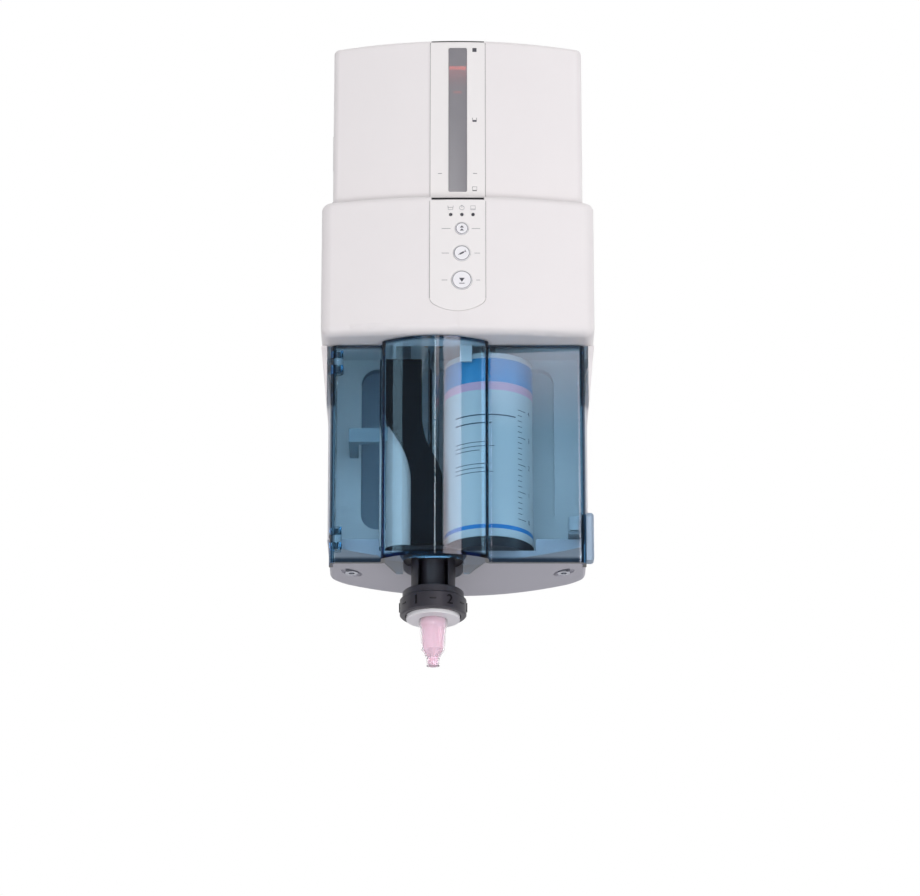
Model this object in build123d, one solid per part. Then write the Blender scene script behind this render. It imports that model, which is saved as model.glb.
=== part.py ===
"""Wall-mounted dental impression mixer: two-part cartridge in a bay behind a tinted door,
a rack feed that drives both plungers, and a geared shaft that turns the mixing tip.

Millimetres. X to the right, Y into the wall, Z up. The origin is the centre of the four
wall-screw holes on the wall plane, and the front of the mixer faces -Y.
"""
import os
from math import acos, cos, pi, radians, sin, tan

from build123d import *

# ---- Case: widths, depths and heights -------------------------------------------------
WALL = 3.0                # moulded case wall
UPPER_HALF = 88.0         # upper body half width
SHOULDER_HALF = 95.0      # shoulder half width
FOOT_HALF = SHOULDER_HALF - 5.4    # half width of the lower body at its foot
WAIST_HALF = SHOULDER_HALF - 5.2   # half width where the shoulder's taper ends
WAIST_Z = -98.0
BACK_Y = -8.0             # back of the rear shell
SPLIT_Y = -60.0           # joint plane of the rear and front shells
UPPER_Y = -103.0          # front of the upper body at its middle
SHOULDER_Y = -122.0       # front of the shoulder at its middle
FRONT_BOW = 6.0           # how far the bowed front falls back at the sides
SIDE_FRONT_Y = -84.0      # front edges of the lower side walls and of the base
CHEEK_FRONT_Y = -95.0     # front of the cheeks beside the door's upper end
CHEEK_HALF = SHOULDER_HALF - 4.2
REAR_TAPER = 3.0          # how far each side draws in at the back
REAR_TAPER_DEPTH = 45.0
REAR_CORNER = 18.0
FRONT_CORNER = 8.0
UPPER_FRONT_CORNER = 4.5
TOP_Z = 186.0             # top of the case at its middle
TOP_SIDE_Z = 181.0        # top of the case at its sides
TOP_EDGE = 3.0
SHOULDER_TOP_Z = 58.0     # top of the shoulder at its middle
SHOULDER_SIDE_Z = 54.6    # top of the shoulder at its sides
SHOULDER_BOTTOM_Z = -45.0
SHOULDER_CORNER = 8.0
SHOULDER_EDGE = 5.0
LIP_EDGE = 7.0            # rounding of the shoulder's lower front edge
LIP_BACK_Y = -93.0        # back of the lip under the shoulder
BASE_TOP_Z = -184.0
BASE_LOW_Z = -200.0       # lowest point of the arched base
BASE_ARCH_R = 355.0
BASE_EDGE = 4.0           # rounding of the base's lower side edges

# ---- Cartridge, neck and tip ----------------------------------------------------------
AXIS_Y = -63.0            # both cylinders, the neck and the tip share this depth
NECK_X = -16.9
BASE_CYL_X = 21.5
BASE_CYL_R = 30.5
CATALYST_X = -38.0
CATALYST_R = 11.5
CYL_WALL = 2.0
CYL_TOP_Z = -50.0
CYL_BOTTOM_Z = -185.0
LABEL_TOP_Z = -54.0
LABEL_T = 0.4
HEAD_BOTTOM_Z = -192.0
HEAD_RIM = 0.8
NECK_R = 8.25
NECK_BORE_R = 4.6
NECK_GUARD_R = 15.25      # sleeve round the neck, open in front
NECK_GUARD_T = 2.3
NECK_WINDOW_HALF = 10.2
NECK_GUARD_BOTTOM_Z = -214.6
NECK_BOTTOM_Z = -224.0
NECK_FLANGE_R = 14.0
NECK_SLOT_R = 20.7        # U cut-outs in the base and in the door floor
RING_TOP_Z = -215.3
RING_STEP_Z = -220.5
RING_BOTTOM_Z = -233.0
RING_FLANGE_R = 21.2
RING_BAND_R = 23.0
RING_BORE_R = 19.2
TIP_DISC_R = 18.5
TIP_DISC_Z = -235.4
TIP_TOP_R = 9.8
TIP_WAIST_R = 8.0
TIP_WAIST_Z = -256.7
OUTLET_R = 4.5
OUTLET_TOP_Z = -262.6
OUTLET_END_Z = -268.2
TIP_WALL = 1.1

# ---- Door -----------------------------------------------------------------------------
DOOR_Y = -98.0            # flat front of the door
DOOR_HALF = SHOULDER_HALF - 6.75
DOOR_T = 2.8
DOOR_TOP_Z = -46.0
DOOR_BOTTOM_Z = -205.0
DOOR_SIDE_BACK_Y = -87.0
DOOR_CORNER = 5.0
BULGE_LEFT = -52.5
BULGE_RIGHT = 21.5
BULGE_Y = -117.5          # bowed front of the bulge at its middle
BULGE_SIDE_Y = -105.5     # where the bow meets the bulge's side walls
BULGE_CORNER = 4.0
BULGE_ROOT = 2.0
FLOOR_BACK_Y = -72.0      # rear ends of the floor's two arms
FLOOR_NOTCH_Y = -108.0    # front of the floor's notch
FLOOR_ARM_HALF = 25.2     # half width across the arms at their rear ends
HINGE_X = -DOOR_HALF + 5.25
HINGE_Y = -91.5
HINGE_PIN_R = 2.0
LUG_R = 3.4
LUG_T = 5.0
LUG_ZS = (-187.0, -57.0)  # middles of the two hinge lugs
KNUCKLE_H = 5.5
CATCH_X = DOOR_HALF - 8.25
CATCH_Z = -176.0
TAB_BOTTOM_Z = -203.0
TAB_TOP_Z = -169.0
TAB_OUT = 5.2

# ---- Front panels and keys ------------------------------------------------------------
FASCIA_HALF = 19.4
FASCIA_T = 1.2
FASCIA_PROUD = 0.3
FASCIA_GAP = 0.15
DISPLAY_BOTTOM_Z = 60.0
DISPLAY_TOP_Z = 183.4
WINDOW_HALF = 6.5
WINDOW_BOTTOM_Z = 68.0
WINDOW_TOP_Z = 179.3
PANEL_TOP_Z = 53.2
PANEL_CORNER_Z = -22.5
PANEL_LOW_Z = -29.6
PANEL_CORNER_R = 6.0
GROOVE_Z = 55.0
GROOVE_H = 2.0
KEY_X = 2.9
KEYS = (("up_key", 31.9, 4.7), ("syringe_key", 13.4, 5.9), ("start_key", -6.8, 7.1))
KEY_GAP = 0.2
KEY_TRAVEL = 1.0
LAMP_Z = 42.5
LAMP_PITCH = 7.8
LAMP_R = 1.2
BOARD_Y = SHOULDER_Y + 10.0
BOARD_T = 1.6
SWITCH_H = 4.0

# ---- Drive ----------------------------------------------------------------------------
BAY_CEILING_Z = -32.0
BULKHEAD_T = 3.0
FRAME_Z = -14.0           # underside of the drive frame's floor
FRAME_T = 3.0
FRAME_LEFT = -69.0
FRAME_RIGHT = 56.0
FRAME_FRONT_Y = -104.0
FRAME_TOP_Z = 173.0
MODULE = 1.25
PRESSURE_ANGLE = radians(20)
ADDENDUM = 0.8            # stub teeth, in modules
DEDENDUM = 1.05
BACKLASH = 0.2            # split between the two members of each pair
RACK_TEETH_PINION = 16
FEED_GEAR_TEETH = 48
FEED_PINION_TEETH = 17
FEED_SHAFT_Z = 10.0
FEED_SHAFT_R = 4.0
FEED_GEAR_X = (58.0, 66.0)
RACK_HALF = 5.0
RACK_BACK = 12.0          # pitch line to the plain face of the rack
RACK_PITCH_LINE = 6.0     # pitch line behind the cylinder axis
RACK_TOOTH_SPAN = (-22.0, 126.0)
GUIDE_XS = (-60.0, 44.0)
GUIDE_R = 4.0
RUNNING_GAP = 0.08
CLIP_Z = (-106.0, -96.0)
LINER_FRONT_Y = -32.0     # plain front of the bay liner
LINER_T = 3.0
POCKET_HALF = FOOT_HALF - 21.6
POCKET_Z = (-159.0, -39.0)
POCKET_CORNER = 11.0
POCKET_DEPTH = 7.5
GUARD_Y = -78.5           # front of the shaft guard
CROSSHEAD_Z = (145.0, 155.0)
CARRIAGE_UP = 12.0
CARRIAGE_DOWN = 98.0
PLUNGER_T = 8.0
PLUNGER_GAP = 0.4
POINTER_Z = 165.2
POINTER_H = 2.8
MIXER_MODULE = 1.0
MIXER_GEAR_TEETH = 20
MIXER_PINION_TEETH = 15
MIXER_GEAR_Z = (-25.0, -17.5)
MIXER_MESH_ANGLE = -72.0
MIXER_SHAFT_R = 4.0
FEED_MOTOR_R = 15.0
MIXER_MOTOR_R = 14.0
MOTOR_SHAFT_R = 2.5

# ---- Wall bracket, fasteners and power inlet --------------------------------------------
WALL_SCREW_SPACING_X = 100.0
WALL_SCREW_SPACING_Z = 80.0
WALL_SCREW_R = 2.75
BRACKET_T = 3.0
BASE_SCREW_X = FOOT_HALF - 15.6
BASE_SCREW_Y = -37.0
BASE_RECESS_R = 7.4
SCREW_HEAD_R = 4.4
SCREW_SHANK_R = 1.9
BOSS_R = 4.5
BOSS_PLACES = ((-74.0, 165.0), (74.0, 165.0), (-80.0, 0.0), (80.0, 0.0))
CASE_SCREW_Y = -12.0      # underside of the case-screw heads, sunk in the rear shell
INLET_Z = 120.0
INLET_Y = -36.0
ROCKER_Z = 88.0


# ---- Plain shapes -----------------------------------------------------------------------
def block(x0, x1, y0, y1, z0, z1):
    return Pos((x0 + x1) / 2, (y0 + y1) / 2, (z0 + z1) / 2) * Box(x1 - x0, y1 - y0, z1 - z0)


def rod_x(y, z, x0, x1, r):
    return Pos((x0 + x1) / 2, y, z) * Rot(0, 90, 0) * Cylinder(r, x1 - x0)


def rod_y(x, z, y0, y1, r):
    return Pos(x, (y0 + y1) / 2, z) * Rot(90, 0, 0) * Cylinder(r, y1 - y0)


def rod_z(x, y, z0, z1, r):
    return Pos(x, y, (z0 + z1) / 2) * Cylinder(r, z1 - z0)


def plan_prism(sketch, z0, z1):
    return Pos(0, 0, z0) * extrude(sketch, z1 - z0)


def front_prism(sketch, y_front, y_back):
    """A sketch drawn as seen from the front, run from y_front back to y_back."""
    plane = Plane(origin=(0, y_back, 0), x_dir=(1, 0, 0), z_dir=(0, -1, 0))
    return extrude(plane * sketch, y_back - y_front)


def turned(points, x, y):
    """A closed outline of (radius, z) points turned about a vertical axis."""
    profile = Plane.XZ * make_face(Polyline(*points, close=True))
    return Pos(x, y, 0) * revolve(profile, Axis.Z, 360)


def rounded_rect(x0, x1, z0, z1, r):
    return Pos((x0 + x1) / 2, (z0 + z1) / 2) * RectangleRounded(x1 - x0, z1 - z0, r)


def group(*solids):
    return Compound(children=[s.solid() for s in solids])


# ---- Case shapes --------------------------------------------------------------------------
def case_plan(half, front_y, side_front_y, corner=FRONT_CORNER):
    """Plan outline of the case: bowed front, drawn-in rear corners."""
    taper_y = BACK_Y - REAR_TAPER_DEPTH
    rear = half - REAR_TAPER
    outline = [
        Polyline((-half, side_front_y), (-half, taper_y), (-rear, BACK_Y), (rear, BACK_Y),
                 (half, taper_y), (half, side_front_y)),
        ThreePointArc((half, side_front_y), (0, front_y), (-half, side_front_y)),
    ]
    face = make_face(outline)
    rear_corners = face.vertices().filter_by_position(Axis.Y, BACK_Y - 0.1, BACK_Y + 0.1)
    face = fillet(rear_corners, REAR_CORNER)
    front_corners = face.vertices().filter_by_position(Axis.Y, side_front_y - 0.1, side_front_y + 0.1)
    return fillet(front_corners, corner)


def bow_radius(half):
    return (half ** 2 + FRONT_BOW ** 2) / (2 * FRONT_BOW)


def front_skin(half, front_y, outside, inside):
    """The bowed layer between two offsets of a front face."""
    r = bow_radius(half)
    tall = 500
    centre_y = front_y + r
    return Pos(0, centre_y, 0) * (Cylinder(r + outside, tall) - Cylinder(r - inside, tall))


def arched_top(half, top_z, side_z, low, inset):
    """Everything under a crown that falls from the middle to both sides."""
    reach = half + 5
    edge_z = side_z - (top_z - side_z) * ((reach / half) ** 2 - 1)
    face = make_face([
        Polyline((reach, edge_z - inset), (reach, low), (-reach, low), (-reach, edge_z - inset)),
        ThreePointArc((-reach, edge_z - inset), (0, top_z - inset), (reach, edge_z - inset)),
    ])
    return front_prism(face, SHOULDER_Y - 5, 0)


def upper_block(inset):
    plan = case_plan(UPPER_HALF, UPPER_Y, UPPER_Y + FRONT_BOW, UPPER_FRONT_CORNER)
    low = SHOULDER_TOP_Z - 20
    if inset:
        plan = offset(plan, -inset)
    body = plan_prism(plan, low, TOP_Z + 1) & arched_top(UPPER_HALF, TOP_Z, TOP_SIDE_Z, low, inset)
    crown = body.faces().sort_by(Axis.Z)[-1].edges()
    return fillet(crown, TOP_EDGE if not inset else 1.0)


def shoulder_block(inset):
    plan = case_plan(SHOULDER_HALF, SHOULDER_Y, SHOULDER_Y + FRONT_BOW)
    if inset:
        plan = offset(plan, -inset)
    low = SHOULDER_BOTTOM_Z + inset
    body = plan_prism(plan, low, SHOULDER_TOP_Z + 1)
    body &= arched_top(SHOULDER_HALF, SHOULDER_TOP_Z, SHOULDER_SIDE_Z, low - 1, inset)
    crown = body.faces().sort_by(Axis.Z)[-1].edges()
    body = fillet(crown, SHOULDER_EDGE - inset * 0.6)
    lip = body.faces().sort_by(Axis.Z)[0].edges().sort_by(Axis.Y)[:3]
    return fillet(lip, LIP_EDGE - inset)


def lower_block(inset):
    """Tapered lower body, from the base up to the shoulder."""
    def flank(side):
        foot = side * (FOOT_HALF - inset)
        waist = side * (WAIST_HALF - inset)
        top = side * (SHOULDER_HALF - inset)
        return [(foot, BASE_LOW_Z - 10), (foot, BASE_TOP_Z), (waist, WAIST_Z),
                (top, SHOULDER_BOTTOM_Z), (top, 0)]
    face = make_face(Polyline(*flank(-1), *reversed(flank(1)), close=True))
    waists = face.vertices().filter_by_position(Axis.Y, WAIST_Z - 0.1, WAIST_Z + 0.1)
    face = fillet(waists, 120)
    rear = SHOULDER_HALF - REAR_TAPER
    taper_y = BACK_Y - REAR_TAPER_DEPTH
    plan = make_face(Polyline((-SHOULDER_HALF, SHOULDER_Y), (-SHOULDER_HALF, taper_y), (-rear, BACK_Y),
                              (rear, BACK_Y), (SHOULDER_HALF, taper_y), (SHOULDER_HALF, SHOULDER_Y),
                              close=True))
    corners = plan.vertices().filter_by_position(Axis.Y, BACK_Y - 0.1, BACK_Y + 0.1)
    plan = fillet(corners, REAR_CORNER)
    if inset:
        plan = offset(plan, -inset)
    return front_prism(face, SHOULDER_Y - 5, BACK_Y - inset) & plan_prism(plan, BASE_LOW_Z - 10, 0)


def case_bosses(y_front, y_back):
    return [rod_y(x, z, y_front, y_back, BOSS_R) for x, z in BOSS_PLACES]


def case_screw_holes():
    return [rod_y(x, z, SHOULDER_Y + 30, 0, SCREW_SHANK_R + 0.15) for x, z in BOSS_PLACES]


def bracket_screw_places():
    return [(x, z) for x in (-WALL_SCREW_SPACING_X / 2, WALL_SCREW_SPACING_X / 2) for z in (-20.0, 20.0)]


def make_rear_shell():
    hull = upper_block(0) + shoulder_block(0)
    core = upper_block(WALL) + shoulder_block(WALL)
    big = 300
    behind_split = block(-big, big, SPLIT_Y, big, -big, big)
    top = (hull - core) & behind_split
    inner_plan = offset(case_plan(SHOULDER_HALF, SHOULDER_Y, SHOULDER_Y + FRONT_BOW), -WALL)
    top -= plan_prism(inner_plan, SHOULDER_BOTTOM_Z - 1, BAY_CEILING_Z + 1)
    low = lower_block(0) - lower_block(WALL)
    low &= block(-big, big, SIDE_FRONT_Y, big, BASE_TOP_Z, SHOULDER_BOTTOM_Z)
    for side in (-1, 1):
        edges = sorted((side * CHEEK_HALF, side * (SHOULDER_HALF + 1)))
        low += lower_block(0) & block(*edges, CHEEK_FRONT_Y, SIDE_FRONT_Y + WALL, WAIST_Z, SHOULDER_BOTTOM_Z)
    shell = top + low
    for boss in case_bosses(SPLIT_Y, BACK_Y - WALL + 0.5):
        shell += boss
    for hole in case_screw_holes():
        shell -= hole
    for x, z in BOSS_PLACES:
        shell -= rod_y(x, z, CASE_SCREW_Y, 0, SCREW_HEAD_R - 0.5)
    for x, z in bracket_screw_places():
        shell -= rod_y(x, z, BACK_Y - WALL - 1, BACK_Y + 1, SCREW_SHANK_R + 0.15)
    shell -= block(-UPPER_HALF - 5, -UPPER_HALF + 10, INLET_Y - 14.2, INLET_Y + 14.2,
                   INLET_Z - 10.7, INLET_Z + 10.7)
    shell -= block(-UPPER_HALF - 5, -UPPER_HALF + 10, INLET_Y - 7.2, INLET_Y + 7.2,
                   ROCKER_Z - 11.2, ROCKER_Z + 11.2)
    for z in (150.0, 156.0, 162.0):
        for y in (-20.0, -32.0, -44.0):
            shell -= block(UPPER_HALF - 10, UPPER_HALF + 5, y - 4, y + 4, z - 1.2, z + 1.2)
            shell -= block(-UPPER_HALF - 5, -UPPER_HALF + 10, y - 4, y + 4, z - 1.2, z + 1.2)
    return shell


def display_outline(gap):
    return rounded_rect(-FASCIA_HALF - gap, FASCIA_HALF + gap, DISPLAY_BOTTOM_Z - gap,
                        DISPLAY_TOP_Z + gap, 1.5)


def window_outline(gap):
    return rounded_rect(-WINDOW_HALF - gap, WINDOW_HALF + gap, WINDOW_BOTTOM_Z - gap,
                        WINDOW_TOP_Z + gap, 1.2)


def panel_outline(gap):
    half = FASCIA_HALF + gap
    face = make_face([
        Polyline((-half, PANEL_CORNER_Z - gap), (-half, PANEL_TOP_Z + gap),
                 (half, PANEL_TOP_Z + gap), (half, PANEL_CORNER_Z - gap)),
        ThreePointArc((half, PANEL_CORNER_Z - gap), (0, PANEL_LOW_Z - gap), (-half, PANEL_CORNER_Z - gap)),
    ])
    return fillet(face.vertices().sort_by(Axis.Y)[:2], PANEL_CORNER_R + gap)


def lamp_xs():
    return [KEY_X + k * LAMP_PITCH for k in (-1, 0, 1)]


def board_posts():
    return [(x, z) for x in (-14.0, 18.0) for z in (-24.0, 50.0)]


def make_front_shell():
    big = 300
    hull = upper_block(0) + shoulder_block(0)
    core = upper_block(WALL) + shoulder_block(WALL)
    shell = (hull - core) & block(-big, big, -big, SPLIT_Y, -big, big)
    # The floor under the shoulder ends in a lip that turns up to the bulkhead.
    inner_half = SHOULDER_HALF - WALL
    shell -= block(-inner_half, inner_half, LIP_BACK_Y, SPLIT_Y + 1, SHOULDER_BOTTOM_Z - 1,
                   SHOULDER_BOTTOM_Z + WALL + 0.5)
    shell += block(-inner_half, inner_half, LIP_BACK_Y - WALL, LIP_BACK_Y, SHOULDER_BOTTOM_Z,
                   BAY_CEILING_Z + BULKHEAD_T)
    for boss in case_bosses(UPPER_Y + FRONT_BOW + 0.5, SPLIT_Y)[:2]:
        shell += boss
    for boss in case_bosses(SHOULDER_Y + FRONT_BOW + 0.5, SPLIT_Y)[2:]:
        shell += boss
    shell &= hull
    for hole in case_screw_holes():
        shell -= hole
    upper_in = front_skin(UPPER_HALF, UPPER_Y, 5, FASCIA_T + 0.1)
    lower_in = front_skin(SHOULDER_HALF, SHOULDER_Y, 5, FASCIA_T + 0.1)
    shell -= front_prism(display_outline(FASCIA_GAP), UPPER_Y - 5, UPPER_Y + 10) & upper_in
    shell -= front_prism(panel_outline(FASCIA_GAP), SHOULDER_Y - 5, SHOULDER_Y + 10) & lower_in
    shell -= front_prism(window_outline(0.1), UPPER_Y - 5, UPPER_Y + 8)
    # Dark groove over the control panel, and the moulded seam under it.
    groove = block(-FASCIA_HALF + 1, FASCIA_HALF - 1, SHOULDER_Y - 2, SHOULDER_Y + 3.2,
                   GROOVE_Z - GROOVE_H / 2, GROOVE_Z + GROOVE_H / 2)
    shell -= groove
    shell -= block(0.3, 0.9, SHOULDER_Y - 2, SHOULDER_Y + 0.5, SHOULDER_BOTTOM_Z + 3, PANEL_LOW_Z - 0.5)
    for name, z, r in KEYS:
        shell -= rod_y(KEY_X, z, SHOULDER_Y - 5, SHOULDER_Y + 6, r + KEY_GAP)
    for x in lamp_xs():
        shell -= rod_y(x, LAMP_Z, SHOULDER_Y - 5, SHOULDER_Y + 6, LAMP_R + 0.1)
    # Door-sensor tab hanging from the lip.
    shell += block(1.3, 9.6, LIP_BACK_Y - 2, LIP_BACK_Y, DOOR_TOP_Z - 11, SHOULDER_BOTTOM_Z + 1)
    post_top = SHOULDER_Y + WALL - 0.5
    for x, z in board_posts():
        shell += rod_y(x, z, post_top, BOARD_Y, 2.4)
    return shell


def make_display_fascia():
    skin = front_skin(UPPER_HALF, UPPER_Y, FASCIA_PROUD, FASCIA_T)
    plate = front_prism(display_outline(0), UPPER_Y - 5, UPPER_Y + 10) & skin
    return plate - front_prism(window_outline(0.1), UPPER_Y - 5, UPPER_Y + 10)


def make_indicator_lens():
    skin = front_skin(UPPER_HALF, UPPER_Y, FASCIA_PROUD - 0.15, WALL - 0.3)
    return front_prism(window_outline(0), UPPER_Y - 5, UPPER_Y + 10) & skin


def make_control_fascia():
    skin = front_skin(SHOULDER_HALF, SHOULDER_Y, FASCIA_PROUD, FASCIA_T)
    plate = front_prism(panel_outline(0), SHOULDER_Y - 5, SHOULDER_Y + 10) & skin
    for name, z, r in KEYS:
        plate -= rod_y(KEY_X, z, SHOULDER_Y - 5, SHOULDER_Y + 6, r + KEY_GAP)
    for x in lamp_xs():
        plate -= rod_y(x, LAMP_Z, SHOULDER_Y - 5, SHOULDER_Y + 6, LAMP_R + 0.1)
    return plate


def make_key(z, r):
    front = SHOULDER_Y - FASCIA_PROUD - 0.5
    stem_end = BOARD_Y - SWITCH_H - KEY_TRAVEL - 0.3
    cap = rod_y(KEY_X, z, front, SHOULDER_Y + WALL - 0.2, r)
    cap = fillet(cap.edges().sort_by(Axis.Y)[0], 0.5)
    stem = rod_y(KEY_X, z, SHOULDER_Y + WALL - 0.3, stem_end, 2.0)
    return cap + stem


def make_status_lamps():
    return group(*[rod_y(x, LAMP_Z, SHOULDER_Y - FASCIA_PROUD - 0.1, BOARD_Y - 0.2, LAMP_R)
                   for x in lamp_xs()])


def make_circuit_board():
    board = block(-17, 21, BOARD_Y, BOARD_Y + BOARD_T, -28, 53.5)
    chip = block(-8, 4, BOARD_Y + BOARD_T, BOARD_Y + BOARD_T + 2, 8, 20)
    plug = block(6, 18, BOARD_Y + BOARD_T, BOARD_Y + BOARD_T + 5, -24, -16)
    return board + chip + plug


def make_key_switches():
    parts = []
    for name, z, r in KEYS:
        can = block(KEY_X - 3, KEY_X + 3, BOARD_Y - SWITCH_H + 0.8, BOARD_Y, z - 3, z + 3)
        parts.append(can + rod_y(KEY_X, z, BOARD_Y - SWITCH_H, BOARD_Y - 1, 1.7))
    return group(*parts)


# ---- Base, bay and door -------------------------------------------------------------------
def base_arch():
    """Everything above the arched underside."""
    return Pos(0, -60, BASE_LOW_Z + BASE_ARCH_R) * Rot(90, 0, 0) * Cylinder(BASE_ARCH_R, 200)


def neck_slot(r, y_front, z0, z1):
    return (rod_z(NECK_X, AXIS_Y, z0, z1, r)
            + block(NECK_X - r, NECK_X + r, y_front, AXIS_Y, z0, z1))


def make_base():
    base = lower_block(0) & block(-200, 200, SIDE_FRONT_Y, 0, BASE_LOW_Z - 5, BASE_TOP_Z) & base_arch()
    lower_sides = [e for e in base.edges() if abs(e.center().X) > FOOT_HALF - 1 and e.length > 30
                   and e.center().Z < BASE_TOP_Z - 1]
    base = fillet(lower_sides, BASE_EDGE)
    head_room = 1.0
    left = CATALYST_X - CATALYST_R - HEAD_RIM - head_room
    right = BASE_CYL_X + BASE_CYL_R + HEAD_RIM + head_room
    back = AXIS_Y + BASE_CYL_R + HEAD_RIM + head_room
    base -= block(left, right, SIDE_FRONT_Y - 1, back, HEAD_BOTTOM_Z - 0.3, BASE_TOP_Z + 1)
    base -= neck_slot(NECK_SLOT_R, SIDE_FRONT_Y - 1, BASE_LOW_Z - 5, BASE_TOP_Z)
    for x in (-BASE_SCREW_X, BASE_SCREW_X):
        low = BASE_LOW_Z + BASE_ARCH_R - (BASE_ARCH_R ** 2 - x ** 2) ** 0.5
        base -= rod_z(x, BASE_SCREW_Y, low - 4, low + 2.4, BASE_RECESS_R)
        base -= rod_z(x, BASE_SCREW_Y, low, BASE_TOP_Z + 1, SCREW_SHANK_R + 0.15)
    return base


def make_base_screws():
    screws = []
    for x in (-BASE_SCREW_X, BASE_SCREW_X):
        low = BASE_LOW_Z + BASE_ARCH_R - (BASE_ARCH_R ** 2 - x ** 2) ** 0.5
        head = rod_z(x, BASE_SCREW_Y, low - 0.6, low + 2.4, SCREW_HEAD_R)
        head -= plan_prism(Pos(x, BASE_SCREW_Y) * RegularPolygon(2.3, 6), low - 1, low + 1)
        screws.append(head + rod_z(x, BASE_SCREW_Y, low + 2, BASE_TOP_Z + 14, SCREW_SHANK_R))
    return group(*screws)


def make_bay_liner():
    """Back wall of the bay, with its shallow moulded pocket and the two base-screw posts."""
    half = FOOT_HALF - WALL - 0.4
    low, high = POCKET_Z
    outer = POCKET_HALF + LINER_T
    liner = block(-half, half, LINER_FRONT_Y, LINER_FRONT_Y + LINER_T, BASE_TOP_Z, BAY_CEILING_Z)
    pocket = rounded_rect(-POCKET_HALF, POCKET_HALF, low, high, POCKET_CORNER)
    boss = rounded_rect(-outer, outer, low - LINER_T, high + LINER_T, POCKET_CORNER + LINER_T)
    liner += front_prism(boss, LINER_FRONT_Y + 0.5, LINER_FRONT_Y + POCKET_DEPTH + 2.5)
    liner -= front_prism(pocket, LINER_FRONT_Y - 1, LINER_FRONT_Y + POCKET_DEPTH)
    for x in (-BASE_SCREW_X, BASE_SCREW_X):
        liner += block(x - 5, x + 5, BASE_SCREW_Y - 5, LINER_FRONT_Y + 1, BASE_TOP_Z, BASE_TOP_Z + 16)
        liner -= rod_z(x, BASE_SCREW_Y, BASE_TOP_Z - 1, BASE_TOP_Z + 15, SCREW_SHANK_R + 0.1)
    return liner


def bulge_bow(inset):
    """Middle and radius of the arc in the bulge's front, for a wall face drawn in by `inset`."""
    half = (BULGE_RIGHT - BULGE_LEFT) / 2
    rise = BULGE_SIDE_Y - BULGE_Y
    r = (half ** 2 + rise ** 2) / (2 * rise)
    x_mid = (BULGE_LEFT + BULGE_RIGHT) / 2
    reach = half - inset
    side_y = BULGE_Y + r - ((r - inset) ** 2 - reach ** 2) ** 0.5
    return x_mid, reach, side_y


def door_plan(inset, back_y):
    x_mid, reach, side_y = bulge_bow(inset)
    front = DOOR_Y + inset
    edge = DOOR_HALF - inset
    face = make_face([
        Polyline((x_mid - reach, side_y), (x_mid - reach, front), (-edge, front), (-edge, back_y),
                 (edge, back_y), (edge, front), (x_mid + reach, front), (x_mid + reach, side_y)),
        ThreePointArc((x_mid + reach, side_y), (x_mid, BULGE_Y + inset), (x_mid - reach, side_y)),
    ])

    def corner(sketch, x, y, r):
        near = sketch.vertices().sort_by_distance((x, y, 0))[0]
        return fillet(near, r)

    for side in (-1, 1):
        face = corner(face, side * edge, front, DOOR_CORNER - inset)
        face = corner(face, x_mid + side * reach, side_y, BULGE_CORNER - inset)
        face = corner(face, x_mid + side * reach, front, BULGE_ROOT + inset * 0.6)
    return face


def door_floor():
    """Floor of the bulge: two tapering arms either side of a deep notch for the neck."""
    top = DOOR_BOTTOM_Z + DOOR_T
    right = BULGE_RIGHT - NECK_X
    arms = make_face(Polyline(
        (BULGE_LEFT, BULGE_Y - 1), (BULGE_RIGHT, BULGE_Y - 1), (NECK_X + right, DOOR_Y - 5),
        (NECK_X + 28, -80), (NECK_X + FLOOR_ARM_HALF, FLOOR_BACK_Y),
        (NECK_X - FLOOR_ARM_HALF, FLOOR_BACK_Y), (NECK_X - 28, -80), (BULGE_LEFT, DOOR_Y - 5),
        close=True))
    x_mid, reach, side_y = bulge_bow(0)
    outer = plan_prism(door_plan(0, DOOR_SIDE_BACK_Y), DOOR_BOTTOM_Z, top)
    outer += block(BULGE_LEFT, BULGE_RIGHT, DOOR_Y + 2, FLOOR_BACK_Y, DOOR_BOTTOM_Z, top)
    floor = plan_prism(arms, DOOR_BOTTOM_Z, top) & outer
    depth = 2 * (FLOOR_BACK_Y - FLOOR_NOTCH_Y)
    notch = Pos(NECK_X, FLOOR_BACK_Y) * RectangleRounded(2 * NECK_SLOT_R, depth, 9)
    return floor - plan_prism(notch, DOOR_BOTTOM_Z - 1, top + 1)


def make_door_cover():
    outer = plan_prism(door_plan(0, DOOR_SIDE_BACK_Y), DOOR_BOTTOM_Z, DOOR_TOP_Z)
    inner = plan_prism(door_plan(DOOR_T, DOOR_SIDE_BACK_Y + 5), DOOR_BOTTOM_Z - 1, DOOR_TOP_Z + 1)
    cover = outer - inner
    cover += door_floor()
    # Each lug works in a notch of the side wall, between two knuckles on its pin.
    for z in LUG_ZS:
        half = LUG_T / 2 + 0.4
        cover -= block(-DOOR_HALF - 1, HINGE_X + 2, DOOR_Y + DOOR_T, DOOR_SIDE_BACK_Y + 1, z - half, z + half)
        for z0 in (z - half - KNUCKLE_H + 0.1, z + half - 0.1):
            knuckle = rod_z(HINGE_X, HINGE_Y, z0, z0 + KNUCKLE_H, LUG_R)
            knuckle += block(HINGE_X - LUG_R, HINGE_X + LUG_R, DOOR_Y + DOOR_T - 0.5, HINGE_Y,
                             z0, z0 + KNUCKLE_H)
            cover += knuckle
            cover -= rod_z(HINGE_X, HINGE_Y, z0 - 1, z0 + KNUCKLE_H + 1, HINGE_PIN_R + 0.01)
    return cover


def make_hinge_pins():
    reach = LUG_T / 2 + KNUCKLE_H - 0.6
    return group(*[rod_z(HINGE_X, HINGE_Y, z - reach, z + reach, HINGE_PIN_R) for z in LUG_ZS])


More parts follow.
